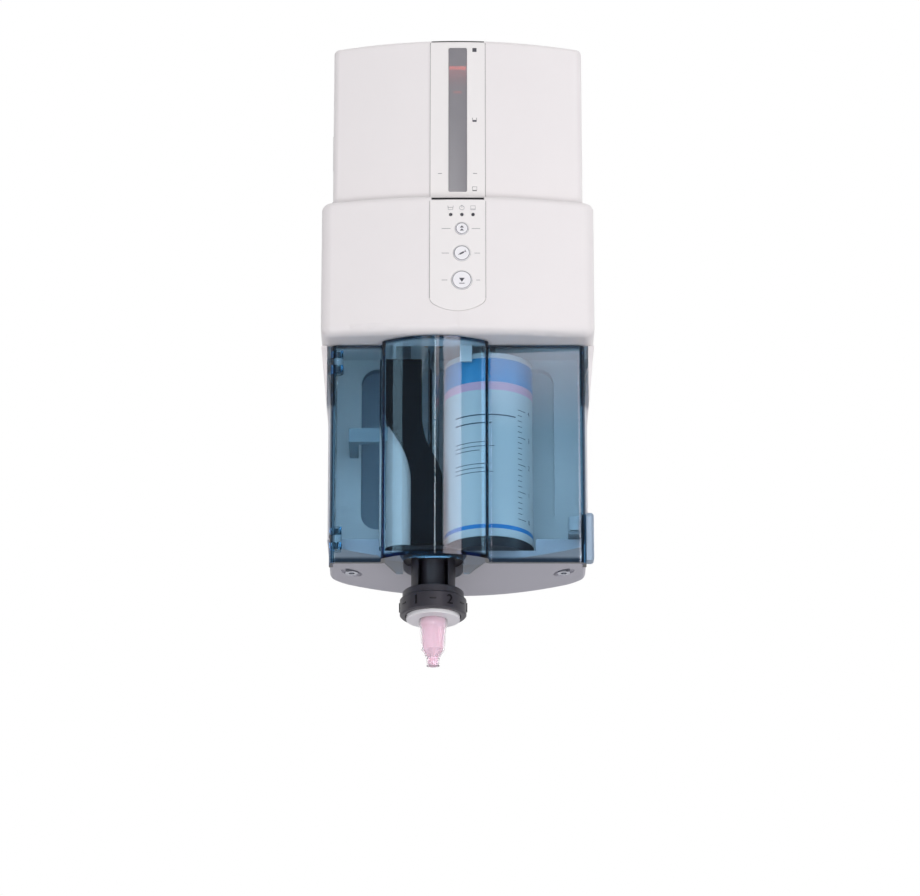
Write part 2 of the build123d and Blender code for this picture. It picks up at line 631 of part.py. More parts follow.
def make_hinge_lugs(rear_shell, base):
    lugs = []
    for z, seat in zip(LUG_ZS, (base, rear_shell)):
        z0, z1 = z - LUG_T / 2, z + LUG_T / 2
        arm = block(HINGE_X - LUG_R + 1.6, HINGE_X + LUG_R, HINGE_Y, SIDE_FRONT_Y + 1, z0, z1)
        root = block(-SHOULDER_HALF, HINGE_X + LUG_R, SIDE_FRONT_Y + 0.5, SIDE_FRONT_Y + 8, z0, z1)
        if z < BASE_TOP_Z:
            root = block(-FOOT_HALF + WALL, HINGE_X + LUG_R, SIDE_FRONT_Y + 0.5, SIDE_FRONT_Y + 2, z0, z1)
        lug = rod_z(HINGE_X, HINGE_Y, z0, z1, LUG_R) + arm + root
        lug -= rod_z(HINGE_X, HINGE_Y, z0 - 1, z1 + 1, HINGE_PIN_R + RUNNING_GAP)
        lug -= seat
        lugs.append(lug.solids().sort_by(SortBy.VOLUME)[-1])
    return group(*lugs)


def make_grip_tab():
    x0 = DOOR_HALF
    tab = block(x0, x0 + TAB_OUT, DOOR_Y + 1, DOOR_SIDE_BACK_Y - 1, TAB_BOTTOM_Z, TAB_TOP_Z)
    outer = tab.faces().sort_by(Axis.X)[-1]
    tab = fillet(outer.edges(), 2.2)
    for k in range(4):
        z = TAB_BOTTOM_Z + 9 + k * 5.5
        tab -= rod_y(x0 + TAB_OUT + 0.7, z, DOOR_Y, DOOR_SIDE_BACK_Y, 1.2)
    return tab


def make_catch_bracket(rear_shell):
    arm = block(CATCH_X - 4, SHOULDER_HALF, SIDE_FRONT_Y + 0.5, SIDE_FRONT_Y + 6, CATCH_Z - 6, CATCH_Z + 6)
    reach = block(CATCH_X - 4, CATCH_X + 4, -90, SIDE_FRONT_Y + 1, CATCH_Z - 6, CATCH_Z + 6)
    pocket = block(CATCH_X - 2.5, CATCH_X + 2.5, -91, -87, CATCH_Z - 4, CATCH_Z + 4)
    return (arm + reach - pocket - rear_shell).solids().sort_by(SortBy.VOLUME)[-1]


def make_catch_magnet():
    return block(CATCH_X - 2.4, CATCH_X + 2.4, -92.8, -87, CATCH_Z - 3.9, CATCH_Z + 3.9)


def make_catch_keeper():
    return block(CATCH_X - 3, CATCH_X + 3, DOOR_Y + DOOR_T, DOOR_Y + DOOR_T + 1.6, CATCH_Z - 5, CATCH_Z + 5)


# ---- Cartridge and mixing tip ----------------------------------------------------------------
def open_cylinder(x, r):
    tube = rod_z(x, AXIS_Y, CYL_BOTTOM_Z, CYL_TOP_Z, r)
    bore = rod_z(x, AXIS_Y, CYL_BOTTOM_Z + 2, CYL_TOP_Z + 1, r - CYL_WALL)
    return tube - bore


def make_cartridge_label():
    outer = rod_z(BASE_CYL_X, AXIS_Y, CYL_BOTTOM_Z + 0.5, LABEL_TOP_Z, BASE_CYL_R + LABEL_T)
    return outer - rod_z(BASE_CYL_X, AXIS_Y, CYL_BOTTOM_Z, LABEL_TOP_Z + 1, BASE_CYL_R + 0.02)


def make_cartridge_head():
    plate = (rod_z(BASE_CYL_X, AXIS_Y, HEAD_BOTTOM_Z, CYL_BOTTOM_Z, BASE_CYL_R + HEAD_RIM)
             + rod_z(CATALYST_X, AXIS_Y, HEAD_BOTTOM_Z, CYL_BOTTOM_Z, CATALYST_R + HEAD_RIM)
             + block(CATALYST_X, BASE_CYL_X, AXIS_Y - CATALYST_R, AXIS_Y + CATALYST_R,
                     HEAD_BOTTOM_Z, CYL_BOTTOM_Z))
    neck = rod_z(NECK_X, AXIS_Y, NECK_BOTTOM_Z, HEAD_BOTTOM_Z + 1, NECK_R)
    ears = rod_z(NECK_X, AXIS_Y, NECK_BOTTOM_Z, NECK_BOTTOM_Z + 3, NECK_FLANGE_R)
    ears &= (block(NECK_X - 20, NECK_X + 20, AXIS_Y - 6, AXIS_Y + 6, NECK_BOTTOM_Z, RING_TOP_Z)
             + rod_z(NECK_X, AXIS_Y, NECK_BOTTOM_Z, RING_TOP_Z, NECK_R + 1))
    head = plate + neck + ears
    guard = rod_z(NECK_X, AXIS_Y, NECK_GUARD_BOTTOM_Z, HEAD_BOTTOM_Z + 1, NECK_GUARD_R)
    guard -= rod_z(NECK_X, AXIS_Y, NECK_GUARD_BOTTOM_Z - 1, HEAD_BOTTOM_Z + 1, NECK_GUARD_R - NECK_GUARD_T)
    guard -= block(NECK_X - NECK_WINDOW_HALF, NECK_X + NECK_WINDOW_HALF, AXIS_Y - 20, AXIS_Y,
                   NECK_GUARD_BOTTOM_Z - 1, HEAD_BOTTOM_Z - 1)
    head += guard
    return head - rod_z(NECK_X, AXIS_Y, NECK_BOTTOM_Z - 1, CYL_BOTTOM_Z + 1, NECK_BORE_R)


def make_cartridge_clip():
    """Spring clip that grips the catalyst cylinder, on an arm from the bay wall."""
    z0, z1 = CLIP_Z
    inner = CATALYST_R + 0.1
    ring = rod_z(CATALYST_X, AXIS_Y, z0, z1, inner + 2.6) - rod_z(CATALYST_X, AXIS_Y, z0, z1, inner)
    ring -= block(CATALYST_X - 20, CATALYST_X + 20, AXIS_Y - 20, AXIS_Y - 5, z0, z1)
    arm = block(-76, CATALYST_X - inner - 1, AXIS_Y - 3, AXIS_Y + 3, z0, z1)
    leg = block(-76, -70, AXIS_Y, LINER_FRONT_Y, z0, z1)
    return ring + arm + leg - rod_z(CATALYST_X, AXIS_Y, z0, z1, inner)


def make_shaft_guard():
    """Dark moulded guard: over the catalyst cylinder above, it swings across to the mixer shaft."""
    top_z, low_z = CYL_TOP_Z + 1, CYL_BOTTOM_Z
    high, low = -88.0, -140.0
    half, low_half = 12.6, 10.9
    x_top, x_low = CATALYST_X + 0.5, NECK_X - 4.6
    bend = (high + low) / 2
    left = Spline((x_top - half, high), (x_top - half + 5, bend + 12), (x_low - low_half, low),
                  tangents=((0, -1), (0, -1)))
    right = Spline((x_low + low_half, low), (x_top + half + 5, bend), (x_top + half, high),
                   tangents=((0, 1), (0, 1)))
    outline = make_face([
        Line((x_top - half, top_z), (x_top - half, high)), left,
        Polyline((x_low - low_half, low), (x_low - low_half, low_z), (x_low + low_half, low_z),
                 (x_low + low_half, low)),
        right, Polyline((x_top + half, high), (x_top + half, top_z), (x_top - half, top_z)),
    ])
    guard = front_prism(outline, GUARD_Y, AXIS_Y - 4)
    guard -= rod_z(CATALYST_X, AXIS_Y, low_z - 1, top_z + 1, CATALYST_R)
    guard -= rod_z(BASE_CYL_X, AXIS_Y, low_z - 1, top_z + 1, BASE_CYL_R + LABEL_T + 0.6)
    guard -= rod_z(NECK_X, AXIS_Y, low_z - 1, top_z + 1, MIXER_SHAFT_R + 3)
    guard -= block(CATALYST_X - 20, CATALYST_X + CATALYST_R + 4, AXIS_Y - 11, AXIS_Y, CLIP_Z[0] - 0.5,
                   CLIP_Z[1] + 0.5)
    return guard.solids().sort_by(SortBy.VOLUME)[-1]


def make_lock_ring():
    return turned([(NECK_R + 0.5, RING_TOP_Z), (RING_FLANGE_R - 0.8, RING_TOP_Z),
                   (RING_FLANGE_R, RING_TOP_Z - 0.8), (RING_FLANGE_R, RING_STEP_Z),
                   (RING_BAND_R - 1, RING_STEP_Z), (RING_BAND_R, RING_STEP_Z - 1.0),
                   (RING_BAND_R, RING_BOTTOM_Z + 1.0),
                   (RING_BAND_R - 1, RING_BOTTOM_Z), (RING_BORE_R, RING_BOTTOM_Z),
                   (RING_BORE_R, RING_TOP_Z - 3), (NECK_R + 0.5, RING_TOP_Z - 3)], NECK_X, AXIS_Y)


def make_tip_disc():
    top = NECK_BOTTOM_Z - 0.3
    return turned([(TIP_TOP_R + 0.02, top), (RING_BORE_R - 2.2, top), (TIP_DISC_R, top - 2),
                   (TIP_DISC_R, TIP_DISC_Z), (TIP_TOP_R + 0.02, TIP_DISC_Z)], NECK_X, AXIS_Y)


def tip_outline(inset):
    top = NECK_BOTTOM_Z - 0.4
    return [(TIP_TOP_R - inset, top), (TIP_TOP_R - inset, TIP_DISC_Z - 4),
            (TIP_TOP_R - 0.8 - inset, TIP_DISC_Z - 6), (TIP_WAIST_R - inset, TIP_WAIST_Z),
            (OUTLET_R - inset, OUTLET_TOP_Z), (OUTLET_R - inset, OUTLET_END_Z)]


def make_mixing_tip():
    inner = tip_outline(TIP_WALL)
    return turned(tip_outline(0) + list(reversed(inner)), NECK_X, AXIS_Y)


ROTOR_ROD_R = 2.0
ROTOR_BLADE_R = 4.6


def make_paste_core():
    skin = tip_outline(TIP_WALL + 0.05)
    low = TIP_WAIST_Z - 0.9
    room = ROTOR_BLADE_R + 0.3
    top = skin[0][1]
    outer = turned([(0, top)] + skin + [(0, skin[-1][1])], NECK_X, AXIS_Y)
    return outer - rod_z(NECK_X, AXIS_Y, low, top + 1, room)


def make_mixing_rotor():
    top = NECK_BOTTOM_Z + 1.5
    rotor = rod_z(NECK_X, AXIS_Y, TIP_WAIST_Z - 0.2, top, ROTOR_ROD_R)
    for k in range(6):
        z = -230.0 - k * 4.6
        blade = block(-ROTOR_BLADE_R + 0.3, ROTOR_BLADE_R - 0.3, -0.9, 0.9, z - 1.3, z + 1.3)
        rotor += Pos(NECK_X, AXIS_Y, 0) * Rot(0, 0, k * 60) * blade
    return rotor


# ---- Gears and racks ----------------------------------------------------------------------------
def involute(angle):
    return tan(angle) - angle


def gear_face(module, teeth, phase):
    """Stub-tooth involute gear outline with a tooth centred at `phase` degrees."""
    pitch_r = module * teeth / 2
    base_r = pitch_r * cos(PRESSURE_ANGLE)
    tip_r = pitch_r + ADDENDUM * module
    root_r = pitch_r - DEDENDUM * module
    half_pitch_angle = (pi * module / 2 - BACKLASH / 2) / (2 * pitch_r)
    low_r = max(base_r, root_r)
    radii = [low_r, (low_r + 2 * pitch_r) / 3, (pitch_r + tip_r) / 2, tip_r]

    def half_angle(r):
        return half_pitch_angle + involute(PRESSURE_ANGLE) - involute(acos(min(1.0, base_r / r)))

    points = []
    for k in range(teeth):
        centre = radians(phase) + 2 * pi * k / teeth
        flank = [(r, half_angle(r)) for r in radii]
        if root_r < low_r - 0.01:
            flank.insert(0, (root_r, half_angle(low_r)))
        polar = [(r, centre - a) for r, a in flank] + [(r, centre + a) for r, a in reversed(flank)]
        points += [(r * cos(a), r * sin(a)) for r, a in polar]
    return make_face(Polyline(*points, close=True))


def gear_x(module, teeth, phase, y, z, x0, x1, bore):
    wheel = extrude(gear_face(module, teeth, phase), x1 - x0)
    wheel = Pos(x0, y, z) * Rot(0, 90, 0) * wheel
    return wheel - rod_x(y, z, x0 - 1, x1 + 1, bore) if bore else wheel


def gear_z(module, teeth, phase, x, y, z0, z1, bore):
    wheel = Pos(x, y, z0) * extrude(gear_face(module, teeth, phase), z1 - z0)
    return wheel - rod_z(x, y, z0 - 1, z1 + 1, bore) if bore else wheel


PINION_R = MODULE * RACK_TEETH_PINION / 2
RACK_LINE_Y = AXIS_Y + RACK_PITCH_LINE
FEED_SHAFT_Y = RACK_LINE_Y + PINION_R
FEED_MOTOR_Y = FEED_SHAFT_Y - MODULE * (FEED_GEAR_TEETH + FEED_PINION_TEETH) / 2
MIXER_CENTRES = MIXER_MODULE * (MIXER_GEAR_TEETH + MIXER_PINION_TEETH) / 2
MIXER_MOTOR_X = NECK_X + MIXER_CENTRES * cos(radians(MIXER_MESH_ANGLE))
MIXER_MOTOR_Y = AXIS_Y + MIXER_CENTRES * sin(radians(MIXER_MESH_ANGLE))
ROD_XS = (CATALYST_X, BASE_CYL_X)
ROD_BOTTOM_Z = CYL_TOP_Z


def rack_rod(x):
    """Square rod with rack teeth facing back to the pinion; a gap faces the pinion's tooth."""
    pitch = pi * MODULE
    tip_y = RACK_LINE_Y + ADDENDUM * MODULE
    root_y = RACK_LINE_Y - DEDENDUM * MODULE
    half = pitch / 4 - BACKLASH / 4
    tip_half = half - ADDENDUM * MODULE * tan(PRESSURE_ANGLE)
    root_half = half + DEDENDUM * MODULE * tan(PRESSURE_ANGLE)
    back_y = RACK_LINE_Y - RACK_BACK
    first = round((RACK_TOOTH_SPAN[0] - FEED_SHAFT_Z) / pitch)
    last = round((RACK_TOOTH_SPAN[1] - FEED_SHAFT_Z) / pitch)
    points = [(back_y, ROD_BOTTOM_Z), (root_y, ROD_BOTTOM_Z)]
    for k in range(first, last):
        z = FEED_SHAFT_Z + (k + 0.5) * pitch
        points += [(root_y, z - root_half), (tip_y, z - tip_half), (tip_y, z + tip_half),
                   (root_y, z + root_half)]
    points += [(root_y, CROSSHEAD_Z[0]), (back_y, CROSSHEAD_Z[0])]
    face = Plane.YZ * make_face(Polyline(*points, close=True))
    return Pos(x - RACK_HALF, 0, 0) * extrude(face, 2 * RACK_HALF)


def make_plungers(grow):
    """Discs on the rods; the seal grooves are left for the seals."""
    parts = []
    for x, r in ((CATALYST_X, CATALYST_R), (BASE_CYL_X, BASE_CYL_R)):
        disc_r = r - CYL_WALL - PLUNGER_GAP
        z0, z1 = CYL_TOP_Z - PLUNGER_T, CYL_TOP_Z
        disc = rod_z(x, AXIS_Y, z0, z1, disc_r)
        groove = rod_z(x, AXIS_Y, z0 + 2.5, z0 + 5.5, disc_r + 1) - rod_z(x, AXIS_Y, z0, z1, disc_r - 1.6)
        if grow:
            seal = groove & rod_z(x, AXIS_Y, z0, z1, disc_r + PLUNGER_GAP - 0.1)
            parts.append(seal)
        else:
            parts.append(disc - groove)
    return group(*parts)


def guide_places():
    return [(x, AXIS_Y) for x in GUIDE_XS]


def make_crosshead():
    z0, z1 = CROSSHEAD_Z
    bar = block(GUIDE_XS[0] - 8, GUIDE_XS[1] + 8, AXIS_Y - 9, AXIS_Y + 9, z0, z1)
    bar = fillet(bar.edges().filter_by(Axis.Z), 5)
    bar += block(-9, 9, AXIS_Y - 16, AXIS_Y - 8, z0, z1)
    for x, y in guide_places():
        bar -= rod_z(x, y, z0 - 1, z1 + 1, GUIDE_R + RUNNING_GAP)
    return bar


def make_level_pointer():
    front = UPPER_Y + WALL + 1.2
    z0, z1 = POINTER_Z - POINTER_H / 2, POINTER_Z + POINTER_H / 2
    flag = block(-6.2, 6.2, front, front + 2, z0, z1)
    reach = block(-3, 3, front + 1, AXIS_Y - 10, z0, z1)
    foot = block(-3, 3, AXIS_Y - 15, AXIS_Y - 10, CROSSHEAD_Z[1], z1)
    return flag + reach + foot


def make_drive_frame():
    """Folded floor, back and top plate, with cheeks for the feed shaft and its motor."""
    z0, z1 = FRAME_Z, FRAME_Z + FRAME_T
    back_y = BACK_Y - WALL
    floor = block(FRAME_LEFT, FRAME_RIGHT, FRAME_FRONT_Y, back_y, z0, z1)
    back = block(FRAME_LEFT + 3, FRAME_RIGHT, back_y - FRAME_T, back_y, z0, FRAME_TOP_Z)
    top = block(FRAME_LEFT, FRAME_RIGHT, AXIS_Y - GUIDE_R - 3, back_y - 0.5, FRAME_TOP_Z - FRAME_T, FRAME_TOP_Z)
    right = block(50, 55, FRAME_FRONT_Y, -34, z0, 32)
    left = block(-54, -49, -60, -34, z0, 24)
    frame = floor + back + top + right + left
    for x in (-40.0, 12.0):
        frame -= front_prism(rounded_rect(x - 18, x + 18, 40, 150, 8), back_y - FRAME_T - 1, back_y + 1)
    for x, z in bracket_screw_places():
        frame -= rod_y(x, z, back_y - FRAME_T - 1, back_y + 1, SCREW_HEAD_R)
    for x in ROD_XS:
        frame -= block(x - RACK_HALF - 0.5, x + RACK_HALF + 0.5, RACK_LINE_Y - RACK_BACK - 0.5,
                       RACK_LINE_Y + MODULE + 0.5, z0 - 1, z1 + 1)
        pinion_room = PINION_R + 3
        frame -= rod_x(FEED_SHAFT_Y, FEED_SHAFT_Z, x - 7, x + 7, pinion_room)
    for x, y in guide_places():
        frame -= rod_z(x, y, z0 - 1, FRAME_TOP_Z + 1, GUIDE_R)
    frame -= rod_z(NECK_X, AXIS_Y, z0 - 1, z1 + 1, 8.0)
    frame -= rod_z(MIXER_MOTOR_X, MIXER_MOTOR_Y, z0 - 1, z1 + 1, MOTOR_SHAFT_R + 1.5)
    for x0, x1 in ((-54, -49), (50, 55)):
        frame -= rod_x(FEED_SHAFT_Y, FEED_SHAFT_Z, x0 - 1, x1 + 1, 8.0)
    frame -= rod_x(FEED_MOTOR_Y, FEED_SHAFT_Z, 49, 56, MOTOR_SHAFT_R + 1.5)
    return frame


def make_shaft_bearings():
    """Flanged bushes for the feed shaft (2) and the mixer shaft (2)."""
    r_out = 8.0
    parts = []
    for x0, x1 in ((-54, -49), (50, 55)):
        bush = rod_x(FEED_SHAFT_Y, FEED_SHAFT_Z, x0, x1, r_out)
        parts.append(bush - rod_x(FEED_SHAFT_Y, FEED_SHAFT_Z, x0 - 1, x1 + 1, FEED_SHAFT_R + RUNNING_GAP))
    for z0, z1 in ((FRAME_Z, FRAME_Z + FRAME_T), (BAY_CEILING_Z, BAY_CEILING_Z + BULKHEAD_T)):
        bush = rod_z(NECK_X, AXIS_Y, z0, z1, r_out)
        parts.append(bush - rod_z(NECK_X, AXIS_Y, z0 - 1, z1 + 1, MIXER_SHAFT_R + RUNNING_GAP))
    return group(*parts)


def make_bulkhead():
    z0, z1 = BAY_CEILING_Z, BAY_CEILING_Z + BULKHEAD_T
    plan = offset(case_plan(SHOULDER_HALF, SHOULDER_Y, SHOULDER_Y + FRONT_BOW), -WALL - 0.2)
    plate = plan_prism(plan, z0, z1) & block(-200, 200, LIP_BACK_Y + 0.1, 0, z0, z1)
    for x in ROD_XS:
        plate -= block(x - RACK_HALF - 0.5, x + RACK_HALF + 0.5, RACK_LINE_Y - RACK_BACK - 0.5,
                       RACK_LINE_Y + MODULE + 0.5, z0 - 1, z1 + 1)
    return plate - rod_z(NECK_X, AXIS_Y, z0 - 1, z1 + 1, 8.0)


def standoff_places():
    return [(x, y) for x in (-66.0, 50.0) for y in (-88.0, -24.0)]


def make_standoffs():
    return group(*[rod_z(x, y, BAY_CEILING_Z + BULKHEAD_T, FRAME_Z, 4.0) for x, y in standoff_places()])


def make_guide_rods():
    return group(*[rod_z(x, y, FRAME_Z, FRAME_TOP_Z, GUIDE_R) for x, y in guide_places()])


def make_feed_motor():
    can = rod_x(FEED_MOTOR_Y, FEED_SHAFT_Z, 8, 50, FEED_MOTOR_R)
    can -= rod_x(FEED_MOTOR_Y, FEED_SHAFT_Z, 38, 51, MOTOR_SHAFT_R + 0.1)
    collar = rod_x(FEED_MOTOR_Y, FEED_SHAFT_Z, 4.5, 8.5, 6)
    return can + collar


def make_mixer_motor():
    z0 = FRAME_Z + FRAME_T
    can = rod_z(MIXER_MOTOR_X, MIXER_MOTOR_Y, z0, z0 + 46, MIXER_MOTOR_R)
    can -= rod_z(MIXER_MOTOR_X, MIXER_MOTOR_Y, z0 - 1, z0 + 12, MOTOR_SHAFT_R + 0.1)
    return can + rod_z(MIXER_MOTOR_X, MIXER_MOTOR_Y, z0 + 45, z0 + 50, 6)


def make_feed_shaft():
    return rod_x(FEED_SHAFT_Y, FEED_SHAFT_Z, -58, 68, FEED_SHAFT_R)


def make_rack_pinions():
    return group(*[gear_x(MODULE, RACK_TEETH_PINION, 0, FEED_SHAFT_Y, FEED_SHAFT_Z, x - RACK_HALF + 0.5,
                          x + RACK_HALF - 0.5, FEED_SHAFT_R) for x in ROD_XS])


def make_feed_gear():
    x0, x1 = FEED_GEAR_X
    wheel = gear_x(MODULE, FEED_GEAR_TEETH, 0, FEED_SHAFT_Y, FEED_SHAFT_Z, x0, x1, FEED_SHAFT_R)
    web = (rod_x(FEED_SHAFT_Y, FEED_SHAFT_Z, x1 - 2.5, x1 + 1, 25)
           - rod_x(FEED_SHAFT_Y, FEED_SHAFT_Z, x1 - 3, x1 + 1, 8))
    return wheel - web


def make_feed_pinion():
    x0, x1 = FEED_GEAR_X
    phase = 90 + 180 / FEED_PINION_TEETH
    pinion = gear_x(MODULE, FEED_PINION_TEETH, phase, FEED_MOTOR_Y, FEED_SHAFT_Z, x0 + 0.5, x1 - 0.5, 0)
    return pinion + rod_x(FEED_MOTOR_Y, FEED_SHAFT_Z, 40, x1, MOTOR_SHAFT_R)


def make_mixer_pinion():
    z0, z1 = MIXER_GEAR_Z
    phase = MIXER_MESH_ANGLE + 180 + 180 / MIXER_PINION_TEETH
    pinion = gear_z(MIXER_MODULE, MIXER_PINION_TEETH, phase, MIXER_MOTOR_X, MIXER_MOTOR_Y, z0, z1, 0)
    return pinion + rod_z(MIXER_MOTOR_X, MIXER_MOTOR_Y, z1 - 1, FRAME_Z + FRAME_T + 10, MOTOR_SHAFT_R)


def make_mixer_gear():
    z0, z1 = MIXER_GEAR_Z
    return gear_z(MIXER_MODULE, MIXER_GEAR_TEETH, 0, NECK_X, AXIS_Y, z0, z1, MIXER_SHAFT_R)


def make_mixer_shaft():
    shaft = rod_z(NECK_X, AXIS_Y, NECK_BOTTOM_Z + 1.5, FRAME_Z + FRAME_T, MIXER_SHAFT_R)
    return shaft


# ---- Wall bracket, fasteners and power ------------------------------------------------------------
def make_wall_bracket():
    plate = front_prism(rounded_rect(-66, 66, -56, 56, 6), -BRACKET_T, 0)
    for x0, x1 in ((-62, -42), (42, 62)):
        plate += block(x0, x1, BACK_Y, -BRACKET_T + 0.5, -34, 34)
    for x in (-WALL_SCREW_SPACING_X / 2, WALL_SCREW_SPACING_X / 2):
        for z in (-WALL_SCREW_SPACING_Z / 2, WALL_SCREW_SPACING_Z / 2):
            plate -= rod_y(x, z, -20, 1, WALL_SCREW_R)
    for x, z in bracket_screw_places():
        plate -= rod_y(x, z, BACK_Y - 1, -1, SCREW_SHANK_R)
    plate -= front_prism(rounded_rect(-38, 38, -40, 40, 8), -BRACKET_T - 1, 1)
    return plate


def make_bracket_screws():
    screws = []
    for x, z in bracket_screw_places():
        inner = BACK_Y - WALL
        head = rod_y(x, z, inner - 2.4, inner, SCREW_HEAD_R - 0.4)
        screws.append(head + rod_y(x, z, inner - 1, -2, SCREW_SHANK_R - 0.02))
    return group(*screws)


def make_case_screws():
    screws = []
    for x, z in BOSS_PLACES:
        head = rod_y(x, z, CASE_SCREW_Y, CASE_SCREW_Y + 1.6, SCREW_HEAD_R - 0.7)
        slot = block(x - 2.4, x + 2.4, CASE_SCREW_Y + 0.8, CASE_SCREW_Y + 2, z - 0.5, z + 0.5)
        screws.append(head - slot + rod_y(x, z, SPLIT_Y - 8, CASE_SCREW_Y + 0.5, SCREW_SHANK_R))
    return group(*screws)


def make_power_supply():
    box = block(57, 78, -50, -17, 72, 140)
    for z in (80, 90, 100, 110, 120, 130):
        box -= block(60, 75, -51, -49, z - 1.5, z + 1.5)
    for z in (76, 136):
        box += block(57, 64, -18, BACK_Y - WALL, z - 4, z + 4)
    return box


def make_power_inlet():
    side = -UPPER_HALF
    y0, y1 = INLET_Y - 14, INLET_Y + 14
    z0, z1 = INLET_Z - 10.5, INLET_Z + 10.5
    shell = block(side, side + 24, y0, y1, z0, z1)
    shell += block(side - 1.5, side, y0 - 3, y1 + 3, z0 - 2, z1 + 2)
    socket = block(side - 3, side + 17, y0 + 2.5, y1 - 2.5, z0 + 2.5, z1 - 2.5)
    shell -= socket
    for dy, dz in ((-7, 0), (7, 0), (0, 2.5)):
        shell += block(side + 6, side + 18, INLET_Y + dy - 1, INLET_Y + dy + 1, INLET_Z + dz - 2, INLET_Z + dz + 2)
    return shell


def make_switch_frame():
    side = -UPPER_HALF
    frame = block(side, side + 15, INLET_Y - 7, INLET_Y + 7, ROCKER_Z - 11, ROCKER_Z + 11)
    frame += block(side - 1.2, side, INLET_Y - 9, INLET_Y + 9, ROCKER_Z - 13, ROCKER_Z + 13)
    return frame - block(side - 3, side + 12, INLET_Y - 5.5, INLET_Y + 5.5, ROCKER_Z - 9.6, ROCKER_Z + 9.6)


ROCKER_PIVOT = 4.0         # rocker pivot inside the side face
ROCKER_TILT = 8.0          # tilt each way


def make_power_rocker():
    px = -UPPER_HALF + ROCKER_PIVOT
    face = make_face(Polyline((0, -7.5), (-6.4, -8.2), (-5.2, 0), (-6.4, 8.2), (0, 7.5), close=True))
    cap = Plane(origin=(0, INLET_Y + 5.1, 0), x_dir=(1, 0, 0), z_dir=(0, -1, 0)) * face
    cap = Pos(px, 0, ROCKER_Z) * Rot(0, ROCKER_TILT, 0) * extrude(cap, 10.2)
    return cap + rod_y(px, ROCKER_Z, INLET_Y - 5.45, INLET_Y + 5.45, 1.5)


def save(name, shape):
    shape.label = name
    export_step(shape, f"parts/{name}.step")


def main():
    os.makedirs("parts", exist_ok=True)
    rear_shell = make_rear_shell()
    base = make_base()
    pieces = {
        "rear_shell": rear_shell,
        "front_shell": make_front_shell(),
        "base": base,
        "base_screws": make_base_screws(),
        "wall_bracket": make_wall_bracket(),
        "bracket_screws": make_bracket_screws(),
        "case_screws": make_case_screws(),
        "display_fascia": make_display_fascia(),
        "indicator_lens": make_indicator_lens(),
        "control_fascia": make_control_fascia(),
        "status_lamps": make_status_lamps(),
        "circuit_board": make_circuit_board(),
        "key_switches": make_key_switches(),
        "bay_liner": make_bay_liner(),
        "bulkhead": make_bulkhead(),
        "standoffs": make_standoffs(),
        "drive_frame": make_drive_frame(),
        "guide_rods": make_guide_rods(),
        "shaft_bearings": make_shaft_bearings(),
        "feed_motor": make_feed_motor(),
        "mixer_motor": make_mixer_motor(),
        "power_supply": make_power_supply(),
        "power_inlet": make_power_inlet(),
        "switch_frame": make_switch_frame(),
        "hinge_lugs": make_hinge_lugs(rear_shell, base),
        "catch_bracket": make_catch_bracket(rear_shell),
        "catch_magnet": make_catch_magnet(),
        "base_cylinder": open_cylinder(BASE_CYL_X, BASE_CYL_R),
        "catalyst_cylinder": open_cylinder(CATALYST_X, CATALYST_R),
        "cartridge_label": make_cartridge_label(),
        "cartridge_head": make_cartridge_head(),
        "cartridge_clip": make_cartridge_clip(),
        "shaft_guard": make_shaft_guard(),
        "tip_disc": make_tip_disc(),
        "mixing_tip": make_mixing_tip(),
        "paste_core": make_paste_core(),
        "door_cover": make_door_cover(),
        "grip_tab": make_grip_tab(),
        "hinge_pins": make_hinge_pins(),
        "catch_keeper": make_catch_keeper(),
        "crosshead": make_crosshead(),
        "rack_rods": group(*[rack_rod(x) for x in ROD_XS]),
        "plungers": make_plungers(False),
        "plunger_seals": make_plungers(True),
        "level_pointer": make_level_pointer(),
        "feed_shaft": make_feed_shaft(),
        "rack_pinions": make_rack_pinions(),
        "feed_gear": make_feed_gear(),
        "feed_pinion": make_feed_pinion(),
        "mixer_shaft": make_mixer_shaft(),
        "mixer_gear": make_mixer_gear(),
        "mixing_rotor": make_mixing_rotor(),
        "mixer_pinion": make_mixer_pinion(),
        "lock_ring": make_lock_ring(),
        "power_rocker": make_power_rocker(),
    }
    for name, z, r in KEYS:
        pieces[name] = make_key(z, r)
    for name, shape in pieces.items():
        save(name, shape)


main()
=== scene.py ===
"""Finishes, printed marks, lights and camera for a wall-mounted dental impression mixer.

Metres. X to the right, Y into the wall, Z up; the front faces -Y.
"""

import math

import bpy
import numpy as np
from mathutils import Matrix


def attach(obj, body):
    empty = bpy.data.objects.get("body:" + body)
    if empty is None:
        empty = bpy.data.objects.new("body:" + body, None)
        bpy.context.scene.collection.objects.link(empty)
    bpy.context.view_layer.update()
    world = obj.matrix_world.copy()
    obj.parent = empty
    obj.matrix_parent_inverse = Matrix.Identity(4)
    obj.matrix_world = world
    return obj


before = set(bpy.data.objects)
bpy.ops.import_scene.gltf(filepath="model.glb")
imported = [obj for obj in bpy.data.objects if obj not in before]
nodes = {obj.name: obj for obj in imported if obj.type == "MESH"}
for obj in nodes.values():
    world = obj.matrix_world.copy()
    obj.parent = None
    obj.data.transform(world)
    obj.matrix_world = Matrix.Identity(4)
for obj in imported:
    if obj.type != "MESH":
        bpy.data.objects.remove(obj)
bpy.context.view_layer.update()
MM = 0.001

# ---- Case shells -----------------------------------------------------------------------
# The rear and front shells are injection moulded in white ABS, in tools with a fine
# spark-eroded grain, and screwed together from behind.


def linear(code):
    """Linear RGBA of an sRGB hex colour: below 0.04 a straight line, above it a 2.4 power."""
    srgb = np.array([int(code[i:i + 2], 16) / 255 for i in (1, 3, 5)])
    low, high = srgb / 12.92, ((srgb + 0.055) / 1.055) ** 2.4
    return (*np.where(srgb <= 0.04045, low, high).tolist(), 1.0)


